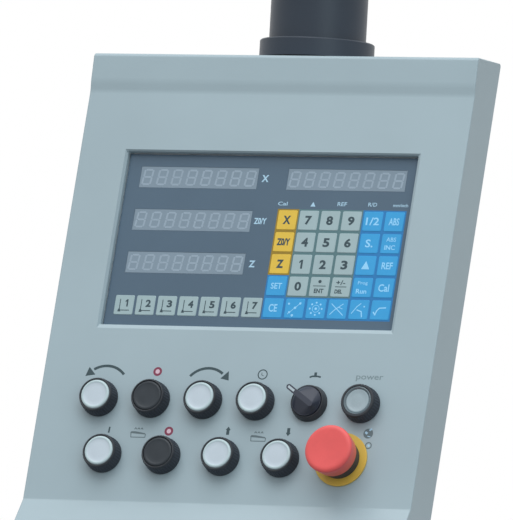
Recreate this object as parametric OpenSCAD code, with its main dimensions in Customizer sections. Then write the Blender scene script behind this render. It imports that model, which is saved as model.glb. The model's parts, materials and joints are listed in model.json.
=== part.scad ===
// Control pendant of a universal milling machine: a leaning sheet-metal console
// with a digital readout, push-buttons and an emergency stop, hung on a swivel
// from a support tube.
// The origin is the centre of the tube's upper end. +Z is up and the face looks to -Y.

/* [Console] */
// Width of the console
console_w = 340; // [336:1:420]
// Length of the main face, from the joggle under the top strip to the ledge
face_len = 351; // [345:1:430]
// Lean of the main face back from the vertical, in degrees
lean = 14; // [8:1:20]
// Depth of the front tray, square to the face
tray_depth = 42; // [38:1:56]
// Thickness of the sheet metal
sheet = 2; // [1.5:0.5:2.5]
// Height of the strip above the joggle
strip_h = 23.2; // [16:0.1:32]
// Height of the joggle
joggle_h = 8; // [6:0.5:12]
// How far the joggle sets the strip forward
joggle_out = 2; // [1:0.5:3]
// How far the strip's upper edge stands in front of its lower edge
strip_tilt = 2; // [0.5:0.5:4]
// Length of the ledge below the face
ledge_len = 60; // [40:1:80]
// Angle between the ledge and the face, in degrees
ledge_turn = 24; // [15:1:35]
// Height of the ledge's upright nose
nose_h = 26; // [16:1:40]

/* [Support tube] */
// Outer diameter of the support tube
tube_d = 79.1; // [60:0.1:92]
// Wall of the support tube
tube_wall = 3.6; // [3.2:0.1:6]
// Length of tube above the swivel flange
tube_rise = 120; // [100:1:300]
// How much smaller than the tube its turned seat for the arm's clamp is, across
seat_step = 1.1; // [0.5:0.1:2]
// Length of the turned seat
seat_len = 60; // [30:1:80]
// Distance from the console's upper front edge back to the tube's axis
tube_setback = 64; // [62:1:74]
// Width of the swivel flange's rim around the tube
flange_rim = 7.3; // [7:0.05:10]
// Height of the swivel flange
flange_h = 15; // [10:0.5:20]
// Thickness of the gasket under the flange
flange_gasket_t = 2.6; // [1.5:0.1:4]
// Turn to each side before the swivel meets its stop, in degrees
swivel_reach = 165; // [140:1:170]

/* [Rear housing] */
// Width of the rear housing
housing_w = 260; // [258:1:266]
// Distance from the tube's axis to the housing's back edge at the roof
housing_back = 72; // [70:1:84]
// Height of the housing's floor above the lower end of the face
housing_floor = 8; // [6:1:12]

/* [Digital readout] */
// Width of the readout's window
window_w = 256.5; // [255:0.5:268]
// Height of the readout's window
window_h = 149; // [148:0.5:156]
// Window centre, to the right of the middle of the face
window_x = 0.5; // [-2:0.5:3]
// Window centre, above the lower end of the face
window_v = 225; // [222:0.5:240]
// Depth of the readout's panel below the face
window_depth = 6; // [4:0.5:8]
// Pitch of the keys, both ways
key_pitch = 18.8; // [18:0.1:19]
// Side of a key
key_size = 16.7; // [14:0.1:17]
// Width of a display's window
display_w = 104; // [96:1:106]
// Height of a display's window
display_h = 18; // [16:0.5:20]

/* [Buttons] */
// Pitch of the upper row of controls
upper_pitch = 46; // [44:0.5:47]
// Height of the upper row above the lower end of the face
upper_row_v = 86.5; // [84:0.5:88]
// Pitch of the lower row of controls
lower_pitch = 52; // [48:0.5:54]
// Height of the lower row above the lower end of the face
lower_row_v = 39; // [34:1:40]
// Diameter of the threaded necks that pass through the face
neck_d = 21.8; // [20:0.1:26.5]
// Diameter of a button's bezel at the face
bezel_d = 30.5; // [29:0.5:34]
// Height of a button's bezel
bezel_h = 12.3; // [9:0.1:14]
// Diameter of a button's cap
cap_d = 24.6; // [22:0.1:25]
// Travel of a push-button
button_travel = 4; // [3:0.5:4.5]
// Angle between the selector's middle and end positions, in degrees
selector_step = 56; // [45:1:65]
// Diameter of the emergency stop's mushroom
mushroom_d = 40; // [39:0.5:44]
// Diameter of the yellow disc behind the mushroom
stop_disc_d = 45; // [44:1:52]
// Travel of the emergency stop
stop_travel = 5; // [4:0.5:6]

/* [Hidden] */
$fn = 64;
arc_steps = 5;
pass = 1;
run_gap = 0.05;
free_gap = 0.3;
fixing_gap = 0.2;

// Swivel stack, downwards from the flange
tube_r = tube_d / 2;
tube_bore_r = tube_r - tube_wall;
liner_wall = 1;
liner_r = tube_r + run_gap + liner_wall;
flange_r = tube_r + flange_rim;
swivel_neck_r = liner_r + 3.9;
roof_hole_r = swivel_neck_r + free_gap;
roof_plate_t = 4;
ring_nut_h = 9;
ring_nut_rim = 8;
roof_z = -(tube_rise + flange_h + flange_gasket_t);
flange_bottom_z = roof_z + flange_gasket_t;
flange_top_z = flange_bottom_z + flange_h;
plate_bottom_z = roof_z - sheet - roof_plate_t;
swivel_neck_bottom_z = plate_bottom_z - ring_nut_h - 7;
washer_t = 1.5;
collar_rim = 7.5;
collar_h = 18;
collar_r = tube_r + collar_rim;
collar_top_z = swivel_neck_bottom_z - washer_t;
collar_bottom_z = collar_top_z - collar_h;
collar_slot = 3;
ear_w = 14;
ear_h = 9;
ear_reach = collar_r + 9;
pinch_r = 2;
pinch_head_r = 3.5;
pinch_head_h = 4;
pinch_x = collar_r + 4.5;
pinch_z = collar_bottom_z + ear_h / 2;
tube_bottom_z = collar_bottom_z - 3;
stop_pin_r = 2.5;
stop_pin_z = collar_top_z - 4.5;
stop_pin_reach = collar_r + 3.5;
stop_block_in = collar_r + 0.6;
stop_block_out = swivel_neck_r + ring_nut_rim - 1;
stop_block_bottom_z = stop_pin_z - stop_pin_r - 0.5;
stop_play = 0.6;

// The face's lower end, in the YZ plane, found from the tube's place on the roof
strip_v = face_len + joggle_h;
strip_top_v = strip_v + strip_h;
strip_top_n = joggle_out + strip_tilt;
face_z = roof_z - strip_top_v * cos(lean) - strip_top_n * sin(lean);
face_y = -tube_setback - strip_top_v * sin(lean) + strip_top_n * cos(lean);
back_corner_r = 2.6;

// Depth of the housing's back, below the face and square to it
housing_depth = (housing_back - face_y) * cos(lean) - (roof_z - face_z) * sin(lean);
housing_lip = 14;
flange_lap = 32;
tray_lip = 20;
fixing_r = 2.5;
fixing_head_r = 4.7;
fixing_head_h = 3;
cover_t = 2;
cover_edge = 2;
cover_seal = 0.1;
cover_front_n = -housing_depth - cover_seal;
cover_back_n = cover_front_n - cover_t;

// Readout
window_corner_r = 1;
overlay_gap = 0.8;
overlay_t = 0.8;
key_rise = 0.4;
readout_frame_t = 2.3;
readout_rim = 11;
return_n = -(window_depth + overlay_t + 0.7);
frame_back_n = return_n - readout_frame_t;
overlay_w = window_w - 2 * overlay_gap;
overlay_h = window_h - 2 * overlay_gap;
pane_flange = 1.5;
pane_flange_t = 1.2;
display_body_t = 8;
display_front_n = frame_back_n - pane_flange_t - fixing_gap;
board_front_n = display_front_n - display_body_t;
board_t = 1.6;
case_wall = 1.8;
case_depth = 28;
case_back_n = frame_back_n - case_depth;
case_w = overlay_w + 4;
case_h = overlay_h + 8;
stud_r = 2;
standoff_r = 3;
key_columns = 6;
key_rows = 5;
tool_keys = 7;
key_left = 20.4 - window_x;
key_top = 244.2 - window_v;
display_left = -63.2 - window_x;
display_right = 67.2 - window_x;
display_top = 279.1 - window_v;
display_step = 36.6;

// Places of the displays, as x and v from the window's centre
DISPLAYS = [
    [display_left, display_top],
    [display_left, display_top - display_step],
    [display_left, display_top - 2 * display_step],
    [display_right, display_top],
];

// Buttons and the other controls, all in the face's frame
neck_r = neck_d / 2;
face_hole_r = neck_r + fixing_gap;
bezel_r = bezel_d / 2;
bezel_taper = 1.25;
bezel_floor_n = 2.5;
cap_r = cap_d / 2;
cap_gap = free_gap;
cap_top_n = bezel_h + 0.3;
cap_bottom_n = bezel_floor_n + button_travel + 0.7;
stem_r = 4;
neck_len = 16;
guide_len = 6;
pocket_r = neck_r - 1.5;
nut_h = 6;
nut_rim = 4.6;
block_w = 22;
block_h = 38;
block_depth = 34;
upper_first_x = -115.5;
lower_first_x = -104.3;
stop_x = 103.5;
stop_v = 40;
selector_ring_h = 7;
knob_disc_n = selector_ring_h - 3.6;
knob_r = bezel_r - bezel_taper - 1.6;
lever_n = 8;
lever_top_n = 15;
lever_tip_h = 5;
lever_inset = 0.4;
lever_tail = 8;
lever_shoulder = 5.5;
lever_reach = 18.7;
lever_tip_r = 2.2;
lamp_lens_r = 12.1;
stop_disc_t = 2;
stop_collar_top_n = 14;
mushroom_bottom_n = stop_collar_top_n - 0.5;
mushroom_hub_n = stop_collar_top_n + stop_travel + 1;
mushroom_top_n = mushroom_hub_n + 10;
mushroom_taper = 1.7;
mushroom_wall = 1.1;
stop_collar_r = mushroom_d / 2 - mushroom_taper - mushroom_wall - 0.7;
stop_stem_r = 6;
spindle_r = 5;
spring_wire = 1;
spring_turns = 5;

BUTTONS = ["spindle_left", "spindle_stop", "spindle_right", "jog", "coolant_on", "coolant_off",
    "table_up", "table_down"];
UPPER_ROW = [for (i = [0:5]) [upper_first_x + i * upper_pitch, upper_row_v]];
LOWER_ROW = [for (i = [0:3]) [lower_first_x + i * lower_pitch, lower_row_v]];
BUTTON_PLACES = concat([for (i = [0:3]) UPPER_ROW[i]], LOWER_ROW);
BLACK_BUTTONS = ["spindle_stop", "coolant_off"];
SELECTOR_PLACE = UPPER_ROW[4];
LAMP_PLACE = UPPER_ROW[5];
STOP_PLACE = [stop_x, stop_v];
CONTROL_PLACES = concat(UPPER_ROW, LOWER_ROW, [STOP_PLACE]);

PAINT = [0.65, 0.72, 0.74];
DARK_PAINT = [0.22, 0.24, 0.27];
BLACK_PLASTIC = [0.17, 0.18, 0.2];
STEEL = [0.7, 0.71, 0.72];

// A point of the YZ plane, from its height v up the face and its distance n in front of it
function beside(v, n) = [face_y + v * sin(lean) - n * cos(lean), face_z + v * cos(lean) + n * sin(lean)];

// The height up the face at which the line n in front of it reaches the level z
function v_at(z, n) = (z - face_z - n * sin(lean)) / cos(lean);

function unit(v) = v / norm(v);

function turned(v, a) = [v.x * cos(a) - v.y * sin(a), v.x * sin(a) + v.y * cos(a)];

// The arc of radius r that rounds the corner b on the way from a to c
function corner(a, b, c, r) =
    let (
        u = unit(a - b),
        w = unit(c - b),
        half = acos(u * w) / 2,
        centre = b + unit(u + w) * r / sin(half),
        start = b + u * r / tan(half) - centre,
        sweep = sign(cross(b - a, c - b)) * (180 - 2 * half)
    )
    [for (i = [0:arc_steps]) centre + turned(start, sweep * i / arc_steps)];

// The outline with corner i rounded to radii[i]
function rounded(points, radii) =
    let (last = len(points))
    [for (i = [0:last - 1])
        each radii[i] > 0
            ? corner(points[(i + last - 1) % last], points[i], points[(i + 1) % last], radii[i])
            : [points[i]]];

// The corner b of an anticlockwise outline, moved t into the outline
function inner_corner(a, b, c, t) =
    let (
        u = unit(a - b),
        w = unit(c - b),
        half = acos(u * w) / 2
    )
    b + sign(cross(b - a, c - b)) * unit(u + w) * t / sin(half);

function inset(points, t) =
    let (last = len(points))
    [for (i = [0:last - 1])
        inner_corner(points[(i + last - 1) % last], points[i], points[(i + 1) % last], t)];

// Children in the face's frame: x to the right, y up the face, z out of it
module on_face(place = [0, 0]) {
    translate([0, face_y, face_z]) rotate([90 - lean, 0, 0]) translate([place.x, place.y, 0]) children();
}

module in_window() {
    on_face([window_x, window_v]) children();
}

// An outline of the YZ plane, made w wide across the console
module across(w) {
    rotate([90, 0, 90]) linear_extrude(w, center = true) children();
}

// A plate w by h from the level low to the level high, centred on its place
module plate(w, h, low, high) {
    translate([-w / 2, -h / 2, low]) cube([w, h, high - low]);
}

module rounded_plate(w, h, r, low, high) {
    plate(w - 2 * r, h, low, high);
    plate(w, h - 2 * r, low, high);
    for (x = [-1, 1], y = [-1, 1])
        translate([x * (w / 2 - r), y * (h / 2 - r), low]) cylinder(h = high - low, r = r);
}

// A rod of radius r from the level low to the level high
module rod(r, low, high) {
    translate([0, 0, low]) cylinder(h = high - low, r = r);
}

module ring(outer, inner, low, high) {
    difference() {
        rod(outer, low, high);
        rod(inner, low - pass, high + pass);
    }
}

// A square wire wound into a spring of outer radius r between two levels
module spring(r, low, high) {
    steps = 10;
    mean = r - spring_wire / 2;
    half = spring_wire / 2;
    rings = steps * spring_turns;
    rise = high - low - spring_wire;
    points = [for (i = [0:rings]) let (a = 360 * i / steps, z = low + half + rise * i / rings)
        each [for (c = [[-1, -1], [1, -1], [1, 1], [-1, 1]])
            [(mean + c.x * half) * cos(a), (mean + c.x * half) * sin(a), z + c.y * half]]];
    sides = [for (i = [0:rings - 1], k = [0:3]) let (a = 4 * i + k, b = 4 * i + (k + 1) % 4)
        each [[a, b, a + 4], [b, b + 4, a + 4]]];
    polyhedron(points, concat(sides, [[3, 2, 1, 0], [4 * rings, 4 * rings + 1, 4 * rings + 2, 4 * rings + 3]]));
}

// ---- Tube and swivel ----

// Tube with a turned seat at its upper end for the arm's clamp
module suspension_tube() {
    color(DARK_PAINT) difference() {
        union() {
            rod(tube_r, tube_bottom_z, -seat_len);
            rod(tube_r - seat_step / 2, -seat_len, 0);
        }
        rod(tube_bore_r, tube_bottom_z - pass, pass);
    }
}

// Split ring clamped on the tube below the thrust washer; its ears point to -X
module retaining_collar() {
    color(STEEL) difference() {
        union() {
            ring(collar_r, tube_r, collar_bottom_z, collar_top_z);
            difference() {
                translate([-ear_reach, -ear_w / 2, collar_bottom_z]) cube([ear_reach - tube_r, ear_w, ear_h]);
                rod(tube_r, collar_bottom_z - pass, collar_top_z);
            }
        }
        translate([-ear_reach - pass, -collar_slot / 2, collar_bottom_z - pass])
            cube([ear_reach, collar_slot, collar_h + 2 * pass]);
        translate([-pinch_x, 0, pinch_z]) rotate([90, 0, 0]) rod(pinch_r, -ear_w, ear_w);
        translate([0, 0, stop_pin_z]) rotate([90, 0, 0]) rod(stop_pin_r, 0, collar_r + pass);
    }
}

// Pinch screw through the collar's ears, with a socket head
module collar_screw() {
    ear_face = ear_w / 2;
    color(STEEL) translate([-pinch_x, 0, pinch_z]) rotate([90, 0, 0]) {
        rod(pinch_r, -ear_face, ear_face);
        difference() {
            rod(pinch_head_r, ear_face, ear_face + pinch_head_h);
            translate([0, 0, ear_face + pinch_head_h / 2]) cylinder(h = pinch_head_h, r = 1.7, $fn = 6);
        }
    }
}

// Radial pin in the collar's front that meets the stop block
module stop_pin() {
    color(STEEL) translate([0, 0, stop_pin_z]) rotate([90, 0, 0]) rod(stop_pin_r, tube_r + free_gap, stop_pin_reach);
}

// Turned flange with a threaded neck that passes through the roof
module swivel_flange() {
    edge = 1;
    color(DARK_PAINT) rotate_extrude() polygon([
        [liner_r, swivel_neck_bottom_z],
        [swivel_neck_r, swivel_neck_bottom_z],
        [swivel_neck_r, flange_bottom_z],
        [flange_r, flange_bottom_z],
        [flange_r, flange_top_z - edge],
        [flange_r - edge, flange_top_z],
        [liner_r, flange_top_z],
    ]);
}

module flange_gasket() {
    color(BLACK_PLASTIC) ring(flange_r - 0.6, roof_hole_r, roof_z, flange_bottom_z);
}

module swivel_liner() {
    color("ivory") ring(liner_r, tube_r + run_gap, swivel_neck_bottom_z, flange_top_z - 0.5);
}

// Slotted ring nut that clamps the roof between the flange and the roof plate
module ring_nut() {
    slot_w = 7;
    slot_deep = 3;
    nut_r = swivel_neck_r + ring_nut_rim - 1;
    color(STEEL) difference() {
        ring(nut_r, swivel_neck_r, plate_bottom_z - ring_nut_h, plate_bottom_z);
        for (a = [45:90:315]) rotate(a)
            translate([nut_r - slot_deep, -slot_w / 2, plate_bottom_z - ring_nut_h - pass])
                cube([slot_deep + pass, slot_w, ring_nut_h + 2 * pass]);
    }
}

module thrust_washer() {
    color("tan") ring(collar_r - 0.5, tube_r + free_gap, collar_top_z, swivel_neck_bottom_z);
}

roof_plate_w = 2 * flange_r + 40;
roof_plate_front = -(tube_setback - sheet - 3);
roof_plate_back = housing_back - sheet - 3;

// Stiffening plate welded under the roof
module roof_plate() {
    color(STEEL) difference() {
        translate([-roof_plate_w / 2, roof_plate_front, plate_bottom_z])
            cube([roof_plate_w, roof_plate_back - roof_plate_front, roof_plate_t]);
        rod(roof_hole_r, plate_bottom_z - pass, plate_bottom_z + roof_plate_t + pass);
    }
}

// Lug on the ring nut's underside, behind the collar, that the stop pin meets
module stop_block() {
    top_z = plate_bottom_z - ring_nut_h;
    half_angle = 180 - swivel_reach - asin(stop_pin_r / stop_block_in) - stop_play;
    half_w = stop_block_in * sin(half_angle);
    color(STEEL) intersection() {
        ring(stop_block_out, stop_block_in, stop_block_bottom_z, top_z);
        translate([-half_w, 0, stop_block_bottom_z - pass]) cube([2 * half_w, stop_block_out, collar_h + washer_t + 10]);
    }
}

// ---- Enclosure ----

ledge_end = beside(-ledge_len * cos(ledge_turn), ledge_len * sin(ledge_turn));
tray_floor_z = ledge_end.y - nose_h;

TRAY = [
    beside(strip_top_v, strip_top_n),
    beside(strip_v, joggle_out),
    beside(face_len, 0),
    beside(0, 0),
    ledge_end,
    ledge_end - [0, nose_h],
    beside(v_at(tray_floor_z, -tray_depth), -tray_depth),
    beside(v_at(roof_z, -tray_depth), -tray_depth),
];
BENDS = [2, 3, 2.5, 4, 5, 4, 3];

function tray_outline(back_r) = rounded(TRAY, concat(BENDS, [back_r]));

function tray_hollow(back_r) =
    rounded(inset(TRAY, sheet), [0, 1, 2.5 + sheet, 4 + sheet, 5 - sheet, 4 - sheet, 0, max(back_r - sheet, 0)]);

STUDS = [for (x = [-1, 1], v = [-0.7, 0, 0.7]) [x * (window_w / 2 + 6.5), v * window_h / 2]];

function side_fixings() = [for (x = [-1, 1], k = [0:4])
    [x * (console_w / 2 - 14), housing_floor + 20 + k * (v_at(roof_z, -tray_depth) - housing_floor - 60) / 4]];
function floor_fixings() = [for (x = [-0.6, 0, 0.6]) [x * housing_w / 2, housing_floor - 11]];

// Folded and welded tray: strip, joggle, face, ledge, nose, floor, roof, sides and lips
module front_shell() {
    color(PAINT) difference() {
        union() {
            difference() {
                union() {
                    across(console_w) polygon(tray_outline(back_corner_r));
                    across(housing_w) polygon(tray_outline(0));
                }
                across(console_w - 2 * sheet) polygon(tray_hollow(back_corner_r));
                across(housing_w) polygon(tray_hollow(0));
                tray_back_opening();
                rod(roof_hole_r, roof_z - sheet - pass, roof_z + pass);
                in_window() rounded_plate(window_w, window_h, window_corner_r, -sheet - pass, pass);
                for (p = CONTROL_PLACES) on_face(p) rod(face_hole_r, -sheet - pass, pass);
            }
            in_window() difference() {
                rounded_plate(window_w + 2 * sheet, window_h + 2 * sheet, window_corner_r + sheet, return_n, -sheet / 2);
                rounded_plate(window_w, window_h, window_corner_r, return_n - pass, pass);
            }
            in_window() for (p = STUDS) translate(p) rod(stud_r, return_n - 10, -sheet / 2);
        }
        for (p = concat(side_fixings(), floor_fixings()))
            on_face(p) rod(fixing_r, -tray_depth - pass, -tray_depth + sheet + pass);
    }
}

// The way through the tray's back, from the housing's floor to the roof
module tray_back_opening() {
    back = -tray_depth;
    ceiling = roof_z - sheet;
    across(console_w - 2 * (sheet + tray_lip)) polygon([
        beside(housing_floor, back - pass),
        beside(v_at(ceiling, back - pass), back - pass),
        beside(v_at(ceiling, back + sheet + pass), back + sheet + pass),
        beside(housing_floor, back + sheet + pass),
    ]);
}

// The housing's side outline with its walls set in by t and its front moved forward by ahead
function housing_outline(t, ahead) = [
    beside(housing_floor + t, -tray_depth + ahead),
    beside(housing_floor + t, -housing_depth + t),
    beside(v_at(roof_z - t, -housing_depth + t), -housing_depth + t),
    beside(v_at(roof_z - t, -tray_depth + ahead), -tray_depth + ahead),
];

lap_w = housing_w + 2 * flange_lap;
lap_top_v = v_at(roof_z - sheet / 2, -tray_depth);
lap_bottom_v = housing_floor - 22;
cover_top_v = v_at(roof_z - sheet, -housing_depth) - 1;
cover_bottom_v = housing_floor + 1;
cover_v = (cover_top_v + cover_bottom_v) / 2;
cover_h = cover_top_v - cover_bottom_v;
cover_w = housing_w - 2 * cover_edge;

COVER_SCREWS = [for (x = [-1, 1], k = [-1, -1 / 3, 1 / 3, 1])
    [x * (housing_w / 2 - sheet - housing_lip / 2), cover_v + k * (cover_h / 2 - 12)]];

// Welded box behind the tray, with laps for its fixings and lips for its cover
module rear_housing() {
    color(PAINT) difference() {
        union() {
            across(housing_w) polygon(housing_outline(0, 0));
            on_face() translate([0, (lap_top_v + lap_bottom_v) / 2, 0])
                plate(min(lap_w, console_w - 8), lap_top_v - lap_bottom_v, -tray_depth - sheet, -tray_depth);
        }
        across(housing_w - 2 * sheet) polygon(housing_outline(sheet, pass));
        on_face([0, cover_v]) plate(
            housing_w - 2 * (sheet + housing_lip),
            cover_h - 2 * housing_lip,
            -housing_depth - pass,
            -housing_depth + sheet + pass
        );
        for (p = COVER_SCREWS) on_face(p) rod(fixing_r, -housing_depth - pass, -housing_depth + sheet + pass);
        for (p = concat(side_fixings(), floor_fixings()))
            on_face(p) rod(fixing_r, -tray_depth - sheet - pass, -tray_depth + pass);
        rod(roof_hole_r, roof_z - sheet - pass, roof_z + pass);
    }
}

// A pan-head screw whose head stands on the level n and whose shank goes forward by len
module pan_screw(n, len) {
    rod(fixing_r, n, n + len);
    difference() {
        rod(fixing_head_r, n - fixing_head_h, n);
        translate([0, 0, n - fixing_head_h - pass]) cylinder(h = 1.6 + pass, r = 1.9, $fn = 6);
    }
}

module housing_screws() {
    color(STEEL) for (p = concat(side_fixings(), floor_fixings()))
        on_face(p) pan_screw(-tray_depth - sheet, 2 * sheet + 3);
}

module rear_cover() {
    color(PAINT) difference() {
        on_face([0, cover_v]) rounded_plate(cover_w, cover_h, 3, cover_back_n, cover_front_n);
        for (p = COVER_SCREWS) on_face(p) rod(fixing_r, cover_back_n - pass, cover_front_n + pass);
    }
}

module cover_screws() {
    color(STEEL) for (p = COVER_SCREWS) on_face(p) pan_screw(cover_back_n, cover_t + sheet + 4);
}

// ---- Digital readout ----

STANDOFFS = [for (x = [-1, 1], y = [-1, 1]) [x * (overlay_w / 2 - 7), y * (overlay_h / 2 - 4.8)]];

// Front plate of the readout: a pad in the window and a rim behind the window's returns
module readout_frame() {
    rim_w = window_w + 2 * readout_rim;
    rim_h = window_h + 2 * readout_rim;
    color("dimgray") in_window() difference() {
        union() {
            plate(overlay_w, overlay_h, frame_back_n, -window_depth - overlay_t);
            plate(rim_w, rim_h, frame_back_n, return_n);
        }
        for (p = DISPLAYS) translate(p)
            plate(display_w + 2 * fixing_gap, display_h + 2 * fixing_gap, frame_back_n - pass, pass);
        for (p = STUDS) translate(p) rod(stud_r + fixing_gap, frame_back_n - pass, return_n + pass);
    }
}

// Places of the key centres, from the window's centre
KEYS = concat(
    [for (r = [0:key_rows - 1], c = [0:key_columns - 1]) [key_left + c * key_pitch, key_top - r * key_pitch]],
    [for (c = [1:tool_keys]) [key_left - c * key_pitch, key_top - (key_rows - 1) * key_pitch]]
);

// Printed film with embossed keys and clear windows left open for the displays
module readout_overlay() {
    color("slategray") in_window() {
        difference() {
            plate(overlay_w, overlay_h, -window_depth - overlay_t, -window_depth);
            for (p = DISPLAYS) translate(p)
                plate(display_w + 2 * fixing_gap, display_h + 2 * fixing_gap, -window_depth - 2, pass);
        }
        for (p = KEYS) translate(p) plate(key_size, key_size, -window_depth, -window_depth + key_rise);
    }
}

// Smoked panes that sit in the frame with a rim behind it
module display_panes() {
    color("lightsteelblue") in_window() for (p = DISPLAYS) translate(p) {
        plate(display_w, display_h, frame_back_n, -window_depth - 0.1);
        plate(display_w + 2 * pane_flange, display_h + 2 * pane_flange, frame_back_n - pane_flange_t, frame_back_n);
    }
}

// Eight-digit module, with a shallow well in front of each digit
module display(i) {
    digits = 8;
    digit_pitch = display_w / digits;
    well = 0.6;
    color("gray") in_window() translate(DISPLAYS[i]) difference() {
        plate(display_w, display_h, board_front_n, display_front_n);
        for (k = [0:digits - 1]) translate([(k - (digits - 1) / 2) * digit_pitch, 0, 0])
            plate(digit_pitch - 2, display_h - 2, display_front_n - well, display_front_n + pass);
    }
}

module display_x() { display(0); }

module display_y() { display(1); }

module display_z() { display(2); }

module display_message() { display(3); }

module readout_board() {
    color("darkgreen") in_window() difference() {
        plate(overlay_w - 8, overlay_h - 4, board_front_n - board_t, board_front_n);
        for (p = STANDOFFS) translate(p) rod(1.6, board_front_n - board_t - pass, board_front_n + pass);
    }
}

// Threaded pillars between the frame and the board, each with a stub through the board
module readout_standoffs() {
    color("gold") in_window() for (p = STANDOFFS) translate(p) {
        rod(standoff_r, board_front_n, frame_back_n);
        rod(1.5, board_front_n - board_t - 3, board_front_n);
    }
}

SOCKETS = [-60, 0, 60];
socket_v = -30;
socket_w = 31;
socket_h = 12.5;

// Rear case of the readout, with openings for its sockets
module readout_case() {
    color("silver") in_window() difference() {
        plate(case_w, case_h, case_back_n, frame_back_n);
        plate(case_w - 2 * case_wall, case_h - 2 * case_wall, case_back_n + case_wall, frame_back_n + pass);
        for (x = SOCKETS) translate([x, socket_v, 0])
            plate(socket_w - 10, socket_h - 2, case_back_n - pass, case_back_n + case_wall + pass);
    }
}

// Nine-pole scale sockets on the case's back
module readout_sockets() {
    color(STEEL) in_window() for (x = SOCKETS) translate([x, socket_v, 0]) {
        plate(socket_w, socket_h, case_back_n - 1, case_back_n);
        plate(socket_w - 13, socket_h - 4, case_back_n - 6, case_back_n - 1);
        for (k = [-1, 1]) translate([k * (socket_w / 2 - 3), 0, 0])
            translate([0, 0, case_back_n - 5]) cylinder(h = 4, r = 2.6, $fn = 6);
    }
}

// Nuts that hold the readout's frame on the face's studs
module readout_nuts() {
    color(STEEL) in_window() for (p = STUDS) translate(p) difference() {
        translate([0, 0, frame_back_n - 3.2]) cylinder(h = 3.2, r = 4, $fn = 6);
        rod(stud_r + run_gap, frame_back_n - 3.2 - pass, frame_back_n + pass);
    }
}

// ---- Push-buttons ----

// The section of a bezel with its neck, from the guide bore outwards
function bezel_section(height, well_r, guide_r, bottom_r) = [
    [guide_r, -neck_len],
    [neck_r, -neck_len],
    [neck_r, 0],
    [bezel_r, 0],
    [bezel_r, 1],
    [bezel_r - bezel_taper, height - 0.7],
    [bezel_r - bezel_taper - 0.6, height],
    [well_r + 0.3, height],
    [well_r, height - 0.3],
    [well_r, bezel_floor_n],
    [bottom_r, bezel_floor_n],
    [bottom_r, -neck_len + guide_len],
    [guide_r, -neck_len + guide_len],
];

module button_bezel(i) {
    color(BLACK_PLASTIC) on_face(BUTTON_PLACES[i]) rotate_extrude()
        polygon(bezel_section(bezel_h, cap_r + cap_gap, stem_r + run_gap, pocket_r));
}

// Moving cap with its stem, whose end works the contact block
module button_cap(i) {
    shade = len([for (b = BLACK_BUTTONS) if (b == BUTTONS[i]) b]) > 0 ? BLACK_PLASTIC : [0.86, 0.89, 0.92];
    color(shade) on_face(BUTTON_PLACES[i]) rotate_extrude() polygon([
        [0, -neck_len - 4],
        [stem_r, -neck_len - 4],
        [stem_r, cap_bottom_n],
        [cap_r, cap_bottom_n],
        [cap_r, cap_top_n - 1.1],
        [cap_r - 0.4, cap_top_n - 0.5],
        [cap_r - 1.4, cap_top_n - 0.1],
        [0, cap_top_n],
    ]);
}

module button_springs() {
    color(STEEL) for (p = BUTTON_PLACES) on_face(p)
        spring(pocket_r - 0.8, -neck_len + guide_len, cap_bottom_n);
}

// ---- Selector, lamp and emergency stop ----

module selector_bezel() {
    color(BLACK_PLASTIC) on_face(SELECTOR_PLACE) rotate_extrude()
        polygon(bezel_section(selector_ring_h, knob_r + free_gap, spindle_r + run_gap, spindle_r + run_gap));
}

// Lever knob, set to its left-hand position
module selector_knob() {
    color(BLACK_PLASTIC) on_face(SELECTOR_PLACE) rotate([0, 0, selector_step]) {
        rod(spindle_r, -neck_len - 3, knob_disc_n);
        rod(knob_r, knob_disc_n, lever_n);
        hull() {
            rod(knob_r - lever_inset, lever_n - lever_inset, lever_n);
            for (y = [lever_shoulder, -lever_tail])
                translate([0, y]) rod(lever_tip_r, lever_top_n - lever_inset, lever_top_n);
        }
        hull() for (y = [0, lever_reach - lever_tip_r])
            translate([0, y]) rod(lever_tip_r, lever_top_n - lever_tip_h, lever_top_n);
    }
}

module lamp_bezel() {
    color(BLACK_PLASTIC) on_face(LAMP_PLACE) rotate_extrude()
        polygon(bezel_section(bezel_h, lamp_lens_r, spindle_r, spindle_r));
}

// Pilot lamp's lens, seated in its bezel
module lamp_lens() {
    color([0.66, 0.7, 0.71]) on_face(LAMP_PLACE) rotate_extrude() polygon([
        [0, bezel_floor_n],
        [lamp_lens_r, bezel_floor_n],
        [lamp_lens_r, bezel_h - 0.9],
        [lamp_lens_r - 0.8, bezel_h - 0.3],
        [0, bezel_h - 0.1],
    ]);
}

module stop_disc() {
    color("goldenrod") on_face(STOP_PLACE) difference() {
        rod(stop_disc_d / 2, 0, stop_disc_t);
        rod(face_hole_r, -pass, stop_disc_t + pass);
    }
}

// Fixed base of the emergency stop, with its neck through the disc and the face
module stop_collar() {
    color(BLACK_PLASTIC) on_face(STOP_PLACE) rotate_extrude() polygon([
        [stop_stem_r + run_gap, -neck_len],
        [neck_r, -neck_len],
        [neck_r, stop_disc_t],
        [stop_collar_r, stop_disc_t],
        [stop_collar_r, stop_collar_top_n - 1],
        [stop_collar_r - 1, stop_collar_top_n],
        [pocket_r, stop_collar_top_n],
        [pocket_r, -neck_len + guide_len],
        [stop_stem_r + run_gap, -neck_len + guide_len],
    ]);
}

// Plunger of the emergency stop, with the spring's shoulder and the mushroom's journal
module stop_stem() {
    color(STEEL) on_face(STOP_PLACE) rotate_extrude() polygon([
        [0, -neck_len - 6],
        [stop_stem_r, -neck_len - 6],
        [stop_stem_r, mushroom_hub_n - 2],
        [pocket_r - 0.4, mushroom_hub_n - 2],
        [pocket_r - 0.4, mushroom_hub_n],
        [spindle_r, mushroom_hub_n],
        [spindle_r, mushroom_hub_n + 6],
        [0, mushroom_hub_n + 6],
    ]);
}

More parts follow.
